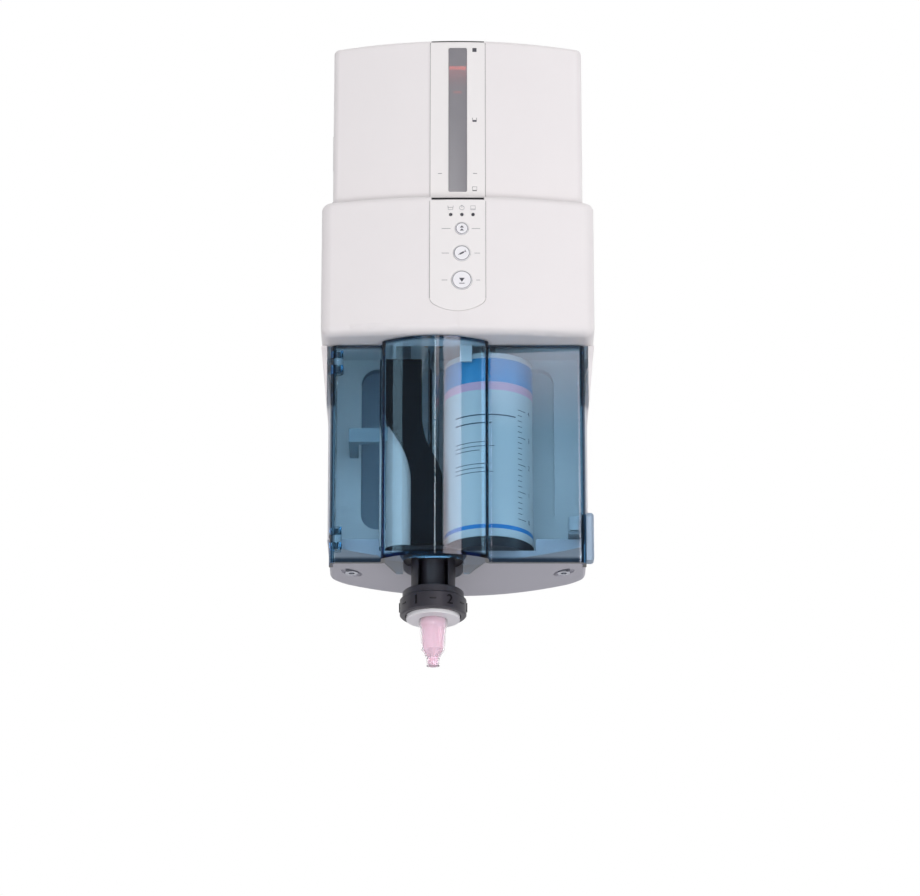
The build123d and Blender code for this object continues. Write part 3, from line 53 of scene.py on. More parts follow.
def add_node(tree, kind, inputs=None, **settings):
    """One shader node: settings are its properties, inputs its values, or nodes or sockets to link."""
    made = tree.nodes.new(kind)
    for key, value in settings.items():
        setattr(made, key, value)
    for key, value in (inputs or {}).items():
        if isinstance(value, bpy.types.Node):
            value = value.outputs[0]
        if isinstance(value, bpy.types.NodeSocket):
            tree.links.new(value, made.inputs[key])
        else:
            made.inputs[key].default_value = value
    return made


def new_finish(name):
    """A finish to work on: the material, its nodes, its shader and the place of a point on the piece."""
    made = bpy.data.materials.new(name)
    made.use_nodes = True
    tree = made.node_tree
    place = add_node(tree, "ShaderNodeTexCoord").outputs["Object"]
    return made, tree, tree.nodes["Principled BSDF"], place


def shade_between(tree, mask, colour, darker):
    """A colour that falls to a share of itself where the mask is 0."""
    light = linear(colour)
    dark = (*[c * darker for c in light[:3]], 1.0)
    return add_node(tree, "ShaderNodeMixRGB", {"Fac": mask, "Color1": dark, "Color2": light}).outputs["Color"]


# Molten plastic leaves cloudy patches about this wide, with a slightly different gloss.
FLOW_MM = 35
FLOW_GLOSS = 0.04


def moulded(name, colour, roughness, grain_mm=0.5, depth_mm=0.012, drift=0.05, ior=1.5):
    """Opaque moulding: its shade and gloss drift slowly, as the melt flowed, over a fine tool grain."""
    made, tree, skin, place = new_finish(name)
    flow = add_node(tree, "ShaderNodeTexNoise",
                    {"Vector": place, "Scale": 1 / (FLOW_MM * MM), "Detail": 3.0}).outputs["Fac"]
    gloss = add_node(tree, "ShaderNodeMapRange",
                     {"Value": flow, "To Min": roughness - FLOW_GLOSS, "To Max": roughness + FLOW_GLOSS})
    grain = add_node(tree, "ShaderNodeTexNoise",
                     {"Vector": place, "Scale": 1 / (grain_mm * MM), "Detail": 2.0}).outputs["Fac"]
    bump = add_node(tree, "ShaderNodeBump",
                    {"Height": grain, "Distance": depth_mm * MM, "Strength": 1.0})
    tree.links.new(shade_between(tree, flow, colour, 1 - drift), skin.inputs["Base Color"])
    tree.links.new(gloss.outputs["Result"], skin.inputs["Roughness"])
    tree.links.new(bump.outputs["Normal"], skin.inputs["Normal"])
    skin.inputs["IOR"].default_value = ior
    return made


def dress(finish, *names):
    """Gives CAD nodes their finish."""
    for name in names:
        for k in range(len(nodes[name].data.materials)):
            nodes[name].data.materials[k] = finish


# Matt white with a slightly cool cast; the grain is drawn coarser than the real 0.2 mm.
white_abs = moulded("white grained ABS", "#E9E5E5", 0.42, grain_mm=0.6, depth_mm=0.010, drift=0.03)
dress(white_abs, "rear_shell", "front_shell")

# ---- Base ------------------------------------------------------------------------------
# The base closes the case below. It is moulded in a greyer ABS and held by two screws in
# round recesses.
base_abs = moulded("light grey ABS, base", "#B5B4BD", 0.45, grain_mm=0.6, depth_mm=0.010, drift=0.04)
dress(base_abs, "base")


# Drawn, rolled and milled lines are this many times longer than wide.
LINE_STRETCH = 40
LINE_DEPTH = 0.004 * MM
LINE_GLOSS = 0.07


def worked_metal(name, colour, roughness, line_mm, along="Z"):
    """Metal with fine lines: noise stretched along the direction that it was worked in."""
    made, tree, skin, place = new_finish(name)
    across = 1 / (line_mm * MM)
    stretch = [across / LINE_STRETCH if axis == along else across for axis in "XYZ"]
    lines = add_node(tree, "ShaderNodeMapping", {"Vector": place, "Scale": stretch})
    noise = add_node(tree, "ShaderNodeTexNoise",
                     {"Vector": lines, "Scale": 1.0, "Detail": 4.0}).outputs["Fac"]
    gloss = add_node(tree, "ShaderNodeMapRange",
                     {"Value": noise, "To Min": roughness - LINE_GLOSS, "To Max": roughness + LINE_GLOSS})
    bump = add_node(tree, "ShaderNodeBump", {"Height": noise, "Distance": LINE_DEPTH, "Strength": 1.0})
    tree.links.new(shade_between(tree, noise, colour, 0.86), skin.inputs["Base Color"])
    tree.links.new(gloss.outputs["Result"], skin.inputs["Roughness"])
    tree.links.new(bump.outputs["Normal"], skin.inputs["Normal"])
    skin.inputs["Metallic"].default_value = 1.0
    return made


# Zinc-plated steel: greyish white with a faint blue, turned heads.
zinc_steel = worked_metal("zinc-plated steel", "#B9BCC4", 0.34, 0.5, along="X")
dress(zinc_steel, "base_screws")

# ---- Wall bracket and case screws ------------------------------------------------------
# A folded steel plate, powder coated light grey, carries the case on the wall. Its screws
# and the four case screws are zinc plated.
powder_coat = moulded("light grey powder coat on steel", "#C4C6CA", 0.5, grain_mm=0.9,
                      depth_mm=0.03, drift=0.06)
dress(powder_coat, "wall_bracket")
dress(zinc_steel, "bracket_screws", "case_screws")

# ---- Display strip ---------------------------------------------------------------------
# A thin polycarbonate fascia follows the bowed front. It is printed from behind and holds a
# smoked acrylic window, behind which the level pointer rides on the plunger carriage.
UPPER_FRONT = -103.3 * MM
UPPER_BEND = 648.6 * MM
INK = 0.06 * MM

fascia_film = moulded("matt white polycarbonate film", "#E9E6E5", 0.33, grain_mm=0.35,
                      depth_mm=0.004, drift=0.015, ior=1.58)
dress(fascia_film, "display_fascia")


def bowed(front, bend):
    """Places flat artwork on a bowed front: depth is front + x squared over twice the bend radius."""
    def place(u, w, t):
        return np.stack([u, front + u ** 2 / (2 * bend) - t, w], axis=-1)
    return place


def filled(points):
    """A filled outline, points counter-clockwise in millimetres: one face."""
    return np.array(points, float) * MM, [tuple(range(len(points)))]


def ribbon(points, width, closed=False):
    """A line of even width: each point is set off half the width to both sides of its direction."""
    line = np.array(points, float)
    if closed:
        ahead, behind = np.roll(line, -1, axis=0), np.roll(line, 1, axis=0)
    else:
        ahead = np.vstack([line[1:], 2 * line[-1:] - line[-2:-1]])
        behind = np.vstack([2 * line[:1] - line[1:2], line[:-1]])
    run = ahead - behind
    run /= np.linalg.norm(run, axis=1)[:, None]
    side = np.stack([-run[:, 1], run[:, 0]], axis=1) * width / 2
    n = len(line)
    points = np.vstack([line + side, line - side]) * MM
    last = n if closed else n - 1
    return points, [(k, k + n, (k + 1) % n + n, (k + 1) % n) for k in range(last)]


def ring_line(x, z, r, count=40):
    """Points round a circle, counter-clockwise."""
    turn = np.arange(count) * 2 * math.pi / count
    return np.stack([x + r * np.cos(turn), z + r * np.sin(turn)], axis=1)


def raise_mesh(name, flats, place, height, lift=0.0):
    """Flat faces given a thickness: the same faces in front and behind, joined round their open edges."""
    points, faces = [], []
    for flat, flat_faces in flats:
        start = sum(len(p) for p in points)
        n = len(flat)
        front = place(flat[:, 0], flat[:, 1], np.full(n, lift + height))
        back = place(flat[:, 0], flat[:, 1], np.full(n, lift))
        points += [front, back]
        edges = {(f[k], f[(k + 1) % len(f)]) for f in flat_faces for k in range(len(f))}
        faces += [tuple(start + i for i in f) for f in flat_faces]
        faces += [tuple(start + n + i for i in reversed(f)) for f in flat_faces]
        faces += [(start + a, start + n + a, start + n + b, start + b)
                  for a, b in sorted(edges) if (b, a) not in edges]
    mesh = bpy.data.meshes.new(name)
    mesh.from_pydata(np.vstack(points).tolist(), [], faces)
    mesh.update()
    return mesh


def add_piece(name, mesh, finish, body):
    """A new piece of the object: linked, given its finish and the body that it rides on."""
    made = bpy.data.objects.new(name, mesh)
    mesh.materials.append(finish)
    bpy.context.scene.collection.objects.link(made)
    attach(made, body)
    return made


def box_line(x, z, w, h):
    """Corners of an upright rectangle, counter-clockwise."""
    return [(x - w / 2, z - h / 2), (x + w / 2, z - h / 2), (x + w / 2, z + h / 2), (x - w / 2, z + h / 2)]


# Screen ink, slate grey and semi-matt.
slate_ink = moulded("slate screen ink", "#4A4A52", 0.5, grain_mm=0.3, depth_mm=0.002, drift=0.1)
level_marks = [
    filled(box_line(11.9, 177.8, 3.0, 3.0)),
    ribbon([(10.4, 124.9), (10.6, 121.9), (13.2, 121.9), (13.4, 124.9)], 0.3),
    filled([(10.6, 122.0), (13.2, 122.0), (13.3, 123.2), (10.5, 123.2)]),
    ribbon([(10.3, 71.8), (10.5, 68.6), (13.3, 68.6), (13.5, 71.8), (10.3, 71.8)], 0.26),
    filled(box_line(11.9, 68.9, 2.8, 0.6)),
    filled(box_line(-12.5, 82.0, 2.8, 0.35)),
    filled(box_line(12.2, 82.0, 2.8, 0.35)),
]
add_piece("display_print", raise_mesh("display_print", level_marks, bowed(UPPER_FRONT, UPPER_BEND), INK),
          slate_ink, "housing")

# Thin dark lines down both sides of the strip are painted shade, standing for the gaps beside it; a thin dark
# bar also lies on the crown above it.
GAP_SHADE_X = 19.47
GAP_SHADE_WIDTH = 0.28
GAP_SHADE_T = 0.2 * MM
CROWN_EDGE = 3.0 * MM
CROWN_FRONT, CROWN_TOP = -100.0 * MM, 183.0 * MM
CROWN_DROP, CROWN_HALF = 5.0 * MM, 88.0 * MM
BAR_HALF = 18.6 * MM
BAR_TURN = (0.45, 1.2)
BAR_T = 0.08 * MM

dark_line_paint = moulded("dark painted lines", "#1A1A1E", 0.6, grain_mm=0.4, depth_mm=0.02)
# Painted shade: a dark line lies in the gap down each side of the strip.
strip_gap_shade = [ribbon([(x, 60.2), (x, 183.2)], GAP_SHADE_WIDTH) for x in (-GAP_SHADE_X, GAP_SHADE_X)]
add_piece("strip_gap_shade",
          raise_mesh("strip_gap_shade", strip_gap_shade, bowed(UPPER_FRONT, UPPER_BEND), GAP_SHADE_T, -0.25 * MM),
          dark_line_paint, "housing")


def on_crown(u, w, t):
    """Wraps artwork on the crown's rounded edge: w is the angle up from the front round its middle."""
    r = CROWN_EDGE + t
    back = CROWN_FRONT + u ** 2 / (2 * UPPER_BEND) - r * np.cos(w)
    return np.stack([u, back, CROWN_TOP - CROWN_DROP * (u / CROWN_HALF) ** 2 + r * np.sin(w)], axis=-1)


def grid(across, upward):
    """A flat grid of faces from its columns' and rows' places."""
    n = len(across)
    flat = np.array([(u, w) for w in upward for u in across])
    return flat, [(k * n + c, k * n + c + 1, (k + 1) * n + c + 1, (k + 1) * n + c)
                  for k in range(len(upward) - 1) for c in range(n - 1)]


crown_bar = grid(np.linspace(-BAR_HALF, BAR_HALF, 15), np.linspace(*BAR_TURN, 4))
add_piece("crown_dark_bar", raise_mesh("crown_dark_bar", [crown_bar], on_crown, BAR_T), dark_line_paint,
          "housing")

# Smoked acrylic: a grey sheet that still lets a lit pointer show through, polished.
smoked_acrylic, tree, skin, place = new_finish("smoked acrylic")
haze = add_node(tree, "ShaderNodeTexNoise", {"Vector": place, "Scale": 1 / (20 * MM), "Detail": 2.0})
smoke = add_node(tree, "ShaderNodeMixRGB", {"Fac": haze, "Color1": linear("#8D8B91"),
                                            "Color2": linear("#98969C")})
tree.links.new(smoke.outputs["Color"], skin.inputs["Base Color"])
skin.inputs["Roughness"].default_value = 0.12
skin.inputs["IOR"].default_value = 1.49
skin.inputs["Transmission Weight"].default_value = 0.35
dress(smoked_acrylic, "indicator_lens")

# The pointer is moulded in coral and lit from its edge; below it the light guide that
# carries the lamp fades from red to nothing.
GUIDE_TOP, GUIDE_LOW = 163.6, 147.0
GUIDE_HALF = 6.1
GUIDE_FRONT = -98.9 * MM
GUIDE_T = 0.8 * MM
# A face looks forward where its normal's Y is below this.
FORWARD = -0.6


def lit_plastic(name, colour, glow, strength, fade=None):
    """Moulding that glows out of its front: even, or fading down to nothing between two heights."""
    made, tree, skin, place = new_finish(name)
    cloud = add_node(tree, "ShaderNodeTexNoise", {"Vector": place, "Scale": 1 / (6 * MM)})
    tree.links.new(shade_between(tree, cloud, colour, 0.85), skin.inputs["Base Color"])
    skin.inputs["Roughness"].default_value = 0.4
    skin.inputs["Emission Color"].default_value = linear(glow)
    facing = add_node(tree, "ShaderNodeNewGeometry").outputs["Normal"]
    depth = add_node(tree, "ShaderNodeSeparateXYZ", {"Vector": facing}).outputs["Y"]
    front = add_node(tree, "ShaderNodeMath", {0: depth, 1: FORWARD}, operation="LESS_THAN")
    power = add_node(tree, "ShaderNodeMath", {0: front, 1: strength}, operation="MULTIPLY")
    if fade:
        height = add_node(tree, "ShaderNodeSeparateXYZ", {"Vector": place}).outputs["Z"]
        power = add_node(tree, "ShaderNodeMapRange",
                         {"Value": height, "From Min": fade[0] * MM, "From Max": fade[1] * MM,
                          "To Min": 0.0, "To Max": power}, interpolation_type="SMOOTHSTEP")
    tree.links.new(power.outputs[0], skin.inputs["Emission Strength"])
    return made


dress(lit_plastic("coral lit acrylic", "#E39A86", "#FF5A34", 9.0), "level_pointer")
guide_face = [filled([(-GUIDE_HALF, GUIDE_LOW), (GUIDE_HALF, GUIDE_LOW),
                      (GUIDE_HALF, GUIDE_TOP), (-GUIDE_HALF, GUIDE_TOP)])]
add_piece("pointer_light_guide",
          raise_mesh("pointer_light_guide", guide_face, bowed(GUIDE_FRONT, UPPER_BEND), GUIDE_T),
          lit_plastic("red edge-lit acrylic", "#6B5A5C", "#FF2418", 2.6, fade=(GUIDE_LOW, GUIDE_TOP)),
          "carriage")

# ---- Control panel ---------------------------------------------------------------------
# The lower fascia is the same film. Three round keys work through it, and three status
# lamps sit under their symbols.
PANEL_FRONT = -122.3 * MM
PANEL_BEND = 755.4 * MM
KEY_FRONT = -122.8 * MM
KEY_X = 2.9
KEY_RIM, KEY_EDGE = 0.4, 0.5
FINE_LINE = 0.26
# Each key's height and the radius of its cap, and the spans of the two lines that lead to it.
KEYS = {"up": (31.9, 4.7), "syringe": (13.4, 5.9), "start": (-6.8, 7.1)}
KEY_LINES = {"up": ((-11.2, -5.0), (9.8, 15.6)), "syringe": ((-11.2, -6.1), (11.6, 15.6)),
             "start": ((-11.2, -7.2), (12.9, 15.6))}
# A bend radius this large is flat.
NO_BEND = 1e6

dress(fascia_film, "control_fascia")
grey_ink = moulded("grey screen ink", "#77777E", 0.5, grain_mm=0.3, depth_mm=0.002, drift=0.06)
panel_marks = [
    ribbon([(-6.9, 49.2), (-6.5, 46.2), (-3.5, 46.2), (-3.1, 49.2)], FINE_LINE),
    ribbon([(-6.8, 47.9), (-3.3, 47.9)], FINE_LINE),
    ribbon(ring_line(KEY_X, 47.6, 1.6), FINE_LINE, closed=True),
    ribbon([(KEY_X, 47.6), (KEY_X, 49.8)], FINE_LINE),
    ribbon(box_line(10.7, 47.6, 3.2, 3.0), FINE_LINE, closed=True),
    ribbon([(9.2, 46.7), (12.2, 46.7)], FINE_LINE),
]
for key, spans in KEY_LINES.items():
    for start, end in spans:
        panel_marks.append(filled(box_line((start + end) / 2, KEYS[key][0], end - start, 0.3)))
add_piece("panel_print", raise_mesh("panel_print", panel_marks, bowed(PANEL_FRONT, PANEL_BEND), INK),
          grey_ink, "housing")

# The same dark lines are painted shade down the panel's sides, and a dark sheet sunk in the groove above it
# is painted shade too.
panel_gap_shade = [ribbon([(x, -20.0), (x, 53.0)], GAP_SHADE_WIDTH) for x in (-GAP_SHADE_X, GAP_SHADE_X)]
groove_shade = [filled(box_line(0.0, 55.0, 36.6, 1.9))]
for name, lines, sunk in (("panel_gap_shade", panel_gap_shade, 0.25), ("groove_shade", groove_shade, 1.5)):
    add_piece(name, raise_mesh(name, lines, bowed(PANEL_FRONT, PANEL_BEND), GAP_SHADE_T, -sunk * MM),
              dark_line_paint, "housing")

# Unlit lamp lenses: dark tinted epoxy domes.
dress(moulded("dark lamp epoxy", "#33333B", 0.18, grain_mm=2.0, depth_mm=0.002), "status_lamps")

# Keys: satin white caps with a painted grey rim; their symbols are pad printed.
key_cap = moulded("satin white key cap", "#ECEBEE", 0.36, grain_mm=0.4, depth_mm=0.004, drift=0.02)
rim_paint = moulded("grey rim paint", "#5E5E66", 0.3, grain_mm=0.4, depth_mm=0.003)
ink_symbols = {
    "up": [filled([(KEY_X - 1.4, 30.2), (KEY_X + 1.4, 30.2), (KEY_X, 31.8)]),
           filled([(KEY_X - 1.4, 32.4), (KEY_X + 1.4, 32.4), (KEY_X, 34.0)])],
    "syringe": [ribbon([(KEY_X - 2.6, 11.9), (KEY_X - 1.3, 12.6)], 0.35),
                ribbon([(KEY_X - 1.4, 12.5), (KEY_X + 1.3, 14.0)], 1.2),
                ribbon([(KEY_X + 1.2, 14.0), (KEY_X + 2.5, 14.7)], 0.4),
                ribbon([(KEY_X + 2.1, 15.6), (KEY_X + 2.9, 13.9)], 0.4)],
    "start": [filled([(KEY_X - 1.9, -5.4), (KEY_X, -8.4), (KEY_X + 1.9, -5.4)]),
              filled(box_line(KEY_X, -9.4, 3.8, 0.5))],
}
on_keys = bowed(KEY_FRONT, NO_BEND)
for name, (z, r) in KEYS.items():
    dress(key_cap, name + "_key")
    add_piece(name + "_symbol", raise_mesh(name + "_symbol", ink_symbols[name], on_keys, INK),
              slate_ink, name + "_button")
    rim = [ribbon(ring_line(KEY_X, z, r - KEY_EDGE - KEY_RIM / 2, 72), KEY_RIM, closed=True)]
    add_piece(name + "_rim", raise_mesh(name + "_rim", rim, on_keys, INK), rim_paint,
              name + "_button")

# ---- Circuit board and key switches ----------------------------------------------------
# A glass-fibre board with green solder mask carries the lamps and the black key switches.
dress(moulded("green solder mask", "#1E6A44", 0.3, grain_mm=1.2, depth_mm=0.02, drift=0.2),
      "circuit_board")
dress(moulded("black switch nylon", "#1D1D20", 0.4), "key_switches")

# ---- Cartridge bay ---------------------------------------------------------------------
# The liner and the bulkhead above it are vacuum formed in white styrene. A grey-blue acetal
# clip holds the small cylinder, and the shaft guard is a dark moulding in front of it.
POCKET_SHADE_Y, POCKET_SHADE_X = -31.5 * MM, -44.0 * MM

liner_styrene = moulded("white formed styrene", "#EDEFF1", 0.38, grain_mm=1.0, depth_mm=0.01)
dress(liner_styrene, "bulkhead")
dress(moulded("grey-blue acetal clip", "#96A6B0", 0.38), "cartridge_clip")


def place_on(finish):
    """X, Y and Z of a point on the piece that wears the finish."""
    place = finish.node_tree.nodes["Texture Coordinate"].outputs["Object"]
    return add_node(finish.node_tree, "ShaderNodeSeparateXYZ", {"Vector": place}).outputs


def paint_over(finish, mask, colour):
    """Lays another colour over a finish, as far as the mask says."""
    base = finish.node_tree.nodes["Principled BSDF"].inputs["Base Color"]
    under = base.links[0].from_socket
    mixed = add_node(finish.node_tree, "ShaderNodeMixRGB",
                     {"Fac": mask, "Color1": under, "Color2": linear(colour)})
    finish.node_tree.links.new(mixed.outputs["Color"], base)


# Painted shade: inside the pocket, left of the small cylinder, the liner is painted grey-blue where the
# pocket's shade falls.
pocket_shade_styrene = moulded("white formed styrene with painted pocket shade", "#EDEFF1", 0.38, grain_mm=1.0,
                         depth_mm=0.01)
spot = place_on(pocket_shade_styrene)
tree = pocket_shade_styrene.node_tree
sunk = add_node(tree, "ShaderNodeMath", {0: spot["Y"], 1: POCKET_SHADE_Y}, operation="GREATER_THAN")
left = add_node(tree, "ShaderNodeMath", {0: spot["X"], 1: POCKET_SHADE_X}, operation="LESS_THAN")
paint_over(pocket_shade_styrene, add_node(tree, "ShaderNodeMath", {0: sunk, 1: left}, operation="MULTIPLY"),
           "#9AAABA")
dress(pocket_shade_styrene, "bay_liner")
guard_nylon = moulded("navy black nylon", "#0B1018", 0.55, grain_mm=0.6, depth_mm=0.008)
guard_nylon.node_tree.nodes["Principled BSDF"].inputs["Specular IOR Level"].default_value = 0.15
dress(guard_nylon, "shaft_guard")
dress(worked_metal("drawn steel", "#A9ABB0", 0.3, 0.4), "standoffs")

# ---- Cartridge -------------------------------------------------------------------------
# Two polypropylene cylinders share a black moulded head. The large one wears a printed
# film label: a blue band, a pink stripe and plain graduations on pale grey.
CYLINDER_X, AXIS_Y = 21.5 * MM, -63.0 * MM
LABEL_R = 30.92 * MM
LABEL_BANDS = ((-53.0, -71.5, "#3F9ACC"), (-71.5, -77.5, "#E8B2C8"), (-176.0, -179.0, "#2F86CC"))
LINE_LEFT = -26
SCALE_X, SCALE_TOP, SCALE_STEP = 22, -90.0, 4.0
FIGURE_X, FIGURE_MM = 34.5, 3.4

dress(moulded("natural polypropylene", "#D8D8D8", 0.36, grain_mm=0.8, depth_mm=0.006), "base_cylinder")
dress(moulded("warm white polypropylene", "#DED3CF", 0.36, grain_mm=0.8, depth_mm=0.006),
      "catalyst_cylinder")
dress(moulded("black glass-filled nylon", "#2F2D33", 0.4, grain_mm=0.6, depth_mm=0.012), "cartridge_head")

label_film = moulded("printed polypropylene film", "#D9D7D6", 0.3, grain_mm=0.5, depth_mm=0.003)
height = place_on(label_film)["Z"]
tree = label_film.node_tree
for top, low, ink in LABEL_BANDS:
    below = add_node(tree, "ShaderNodeMath", {0: height, 1: top * MM}, operation="LESS_THAN")
    above = add_node(tree, "ShaderNodeMath", {0: height, 1: low * MM}, operation="GREATER_THAN")
    band = add_node(tree, "ShaderNodeMath", {0: below, 1: above}, operation="MULTIPLY")
    paint_over(label_film, band, ink)
dress(label_film, "cartridge_label")


def wrapped(x, y, r):
    """Places flat artwork round an upright cylinder: the angle from the front is width over radius."""
    def place(u, w, t):
        turn = u / r
        return np.stack([x + (r + t) * np.sin(turn), y - (r + t) * np.cos(turn), w], axis=-1)
    return place


# A figure is this share of its font's size.
FIGURE_SHARE = 0.7


def text_mesh(name, words, height_mm, depth, place, centre):
    """Extruded figures, made a mesh flat and then put in place point by point."""
    curve = bpy.data.curves.new(name, "FONT")
    curve.body = words
    curve.size = height_mm * MM / FIGURE_SHARE
    curve.align_x, curve.align_y = "CENTER", "CENTER"
    curve.extrude = depth / 2
    curve.resolution_u = 4
    flat = bpy.data.objects.new(name, curve)
    bpy.context.scene.collection.objects.link(flat)
    bpy.context.view_layer.update()
    mesh = bpy.data.meshes.new_from_object(flat.evaluated_get(bpy.context.evaluated_depsgraph_get()))
    bpy.data.objects.remove(flat)
    spots = np.empty(len(mesh.vertices) * 3, np.float32)
    mesh.vertices.foreach_get("co", spots)
    spots = spots.reshape(-1, 3).astype(float)
    put = place(spots[:, 0] + centre[0] * MM, spots[:, 1] + centre[1] * MM, spots[:, 2] + depth / 2)
    mesh.vertices.foreach_set("co", put.astype(np.float32).ravel())
    mesh.update()
    mesh.materials.clear()
    mesh.name = name
    return mesh


on_label = wrapped(CYLINDER_X, AXIS_Y, LABEL_R)


def printed_line(u0, u1, z, width):
    """A printed line round the label, with a point every 2 mm so that it follows the curve."""
    steps = max(2, int(abs(u1 - u0) / 2) + 1)
    return ribbon([(u, z) for u in np.linspace(u0, u1, steps)], width)


# Two heading lines, two blocks of text lines, and a scale whose every fifth line is longer.
label_marks = [printed_line(LINE_LEFT, 20, -96.0, 0.9), printed_line(LINE_LEFT, 2, -102.0, 0.9)]
label_marks += [printed_line(LINE_LEFT, LINE_LEFT + run, z, 0.5)
                for z, run in ((-116, 24), (-119, 30), (-122, 19), (-132, 27), (-135, 22), (-138, 29))]
label_marks += [printed_line(SCALE_X, SCALE_X + (8 if k % 5 == 0 else 4), SCALE_TOP - SCALE_STEP * k, 0.45)
                for k in range(21)]
add_piece("label_print", raise_mesh("label_print", label_marks, on_label, INK), slate_ink,
          "housing")
for k in range(5):
    spot = (FIGURE_X, SCALE_TOP - 5 * SCALE_STEP * k)
    add_piece(f"label_figure_{k}",
              text_mesh(f"label_figure_{k}", str(4 - k), FIGURE_MM, INK, on_label, spot),
              slate_ink, "housing")

# ---- Mixing tip and lock ring ----------------------------------------------------------
# The tip is a clear styrene tube on a white flange, with a grey rotor in the pink paste. The
# bayonet ring that locks it is charcoal nylon, with raised position figures.
NECK_X = -16.9 * MM
RING_R = 23.0 * MM
RING_FIGURE = 0.6 * MM
RING_FIGURE_MM = 6.6
FIGURE_Z, DASH_Z = -226.9, -226.6
DASH = (-2.2, -0.7, 0.7, 2.2)
SIXTH = RING_R / MM * math.pi / 3

dress(moulded("white acetal", "#F2F1F4", 0.32, grain_mm=0.5, depth_mm=0.004), "tip_disc")
dress(moulded("grey acetal", "#C9C6CB", 0.35), "mixing_rotor")
ring_nylon = moulded("charcoal nylon", "#35333A", 0.42, grain_mm=0.5, depth_mm=0.014)
dress(ring_nylon, "lock_ring")
figure_paint = moulded("black figure paint", "#17161B", 0.22, grain_mm=0.4, depth_mm=0.004)
on_ring = wrapped(NECK_X, AXIS_Y, RING_R)
for k in range(6):
    spot = ((k - 0.5) * SIXTH, FIGURE_Z)
    add_piece(f"ring_figure_{k + 1}",
              text_mesh(f"ring_figure_{k + 1}", str(k + 1), RING_FIGURE_MM, RING_FIGURE, on_ring, spot),
              figure_paint, "bayonet_ring")
dashes = [ribbon([(k * SIXTH + u, DASH_Z) for u in DASH], 0.7) for k in range(6)]
add_piece("ring_dashes", raise_mesh("ring_dashes", dashes, on_ring, RING_FIGURE), figure_paint,
          "bayonet_ring")


def clear_plastic(name, tint, roughness, ior, absorb=None, density=0.0, body=0.0, sheen=0.5):
    """See-through moulding: a polished skin over a body that absorbs more the further light runs in it."""
    made, tree, skin, place = new_finish(name)
    swirl = add_node(tree, "ShaderNodeTexNoise", {"Vector": place, "Scale": 1 / (25 * MM)})
    bump = add_node(tree, "ShaderNodeBump", {"Height": swirl, "Distance": 0.02 * MM, "Strength": 1.0})
    tree.links.new(shade_between(tree, swirl, tint, 0.96), skin.inputs["Base Color"])
    tree.links.new(bump.outputs["Normal"], skin.inputs["Normal"])
    skin.inputs["Roughness"].default_value = roughness
    skin.inputs["IOR"].default_value = ior
    skin.inputs["Specular IOR Level"].default_value = sheen
    skin.inputs["Transmission Weight"].default_value = 1.0 - body
    if absorb:
        depth = add_node(tree, "ShaderNodeVolumeAbsorption",
                         {"Color": linear(absorb), "Density": density})
        tree.links.new(depth.outputs["Volume"], tree.nodes["Material Output"].inputs["Volume"])
    return made


dress(clear_plastic("clear polystyrene", "#F7F2F5", 0.08, 1.2, body=0.15), "mixing_tip")
paste = moulded("mixed impression paste", "#E4C0D1", 0.3, grain_mm=1.6, depth_mm=0.05, drift=0.12,
                ior=1.4)
skin = paste.node_tree.nodes["Principled BSDF"]
skin.inputs["Subsurface Weight"].default_value = 0.25
skin.inputs["Subsurface Radius"].default_value = (4 * MM, 2 * MM, 2 * MM)
dress(paste, "paste_core")

# ---- Door ------------------------------------------------------------------------------
# One shell of blue-tinted polycarbonate, bowed over the mixer shaft, swings on two steel pins.
# Its rims, where light runs along inside a wall and comes out nearly navy, carry that navy as painted shade.
# The grip is a paler, frosted piece.
EDGE_SHADE_X = (83.8, 86.8)
EDGE_SHADE_TOP, EDGE_SHADE_LOW = (-49.0, -47.2), (-200.5, -202.5)

door_tint = clear_plastic("blue-tinted polycarbonate", "#F4FAFD", 0.03, 1.5, absorb="#67CEED",
                          density=165.0, sheen=0.25)
spot = place_on(door_tint)
tree = door_tint.node_tree
width = add_node(tree, "ShaderNodeMath", {0: spot["X"]}, operation="ABSOLUTE")
rim = 0.0
for measure, (start, end) in ((width, EDGE_SHADE_X), (spot["Z"], EDGE_SHADE_TOP), (spot["Z"], EDGE_SHADE_LOW)):
    near = add_node(tree, "ShaderNodeMapRange",
                    {"Value": measure, "From Min": start * MM, "From Max": end * MM})
    rim = add_node(tree, "ShaderNodeMath", {0: near, 1: rim}, operation="MAXIMUM")
# Painted shade: navy is painted over the side, top and bottom rims, where the clear wall looks dark.
paint_over(door_tint, rim, "#4C6173")
dress(door_tint, "door_cover")
dress(clear_plastic("frosted pale blue polycarbonate", "#A6BBD0", 0.35, 1.4, body=0.5), "grip_tab")
bright_steel = worked_metal("ground steel", "#B4B6BB", 0.22, 0.3)
dress(moulded("grey ABS, catch bracket", "#AEB2B8", 0.45), "catch_bracket")
dress(moulded("grey enamel on steel", "#AEB2B8", 0.4), "catch_magnet")

# The keeper is bonded flat to the clear wall, so its inside is made see-through.
bonded = moulded("grey enamel on a bonded keeper", "#AEB2B8", 0.4)
tree = bonded.node_tree
inside = add_node(tree, "ShaderNodeNewGeometry").outputs["Backfacing"]
gone = add_node(tree, "ShaderNodeBsdfTransparent")
both = add_node(tree, "ShaderNodeMixShader", {0: inside, 1: tree.nodes["Principled BSDF"], 2: gone})
tree.links.new(both.outputs[0], tree.nodes["Material Output"].inputs["Surface"])
dress(bonded, "catch_keeper")

# The lugs are fixed to the case. The pins are pressed into the door's knuckles and turn in the lugs.
dress(moulded("grey nylon, hinge lugs", "#A4ACB4", 0.5), "hinge_lugs")
dress(worked_metal("drawn steel, hinge pins", "#8A8E94", 0.4, 0.3), "hinge_pins")

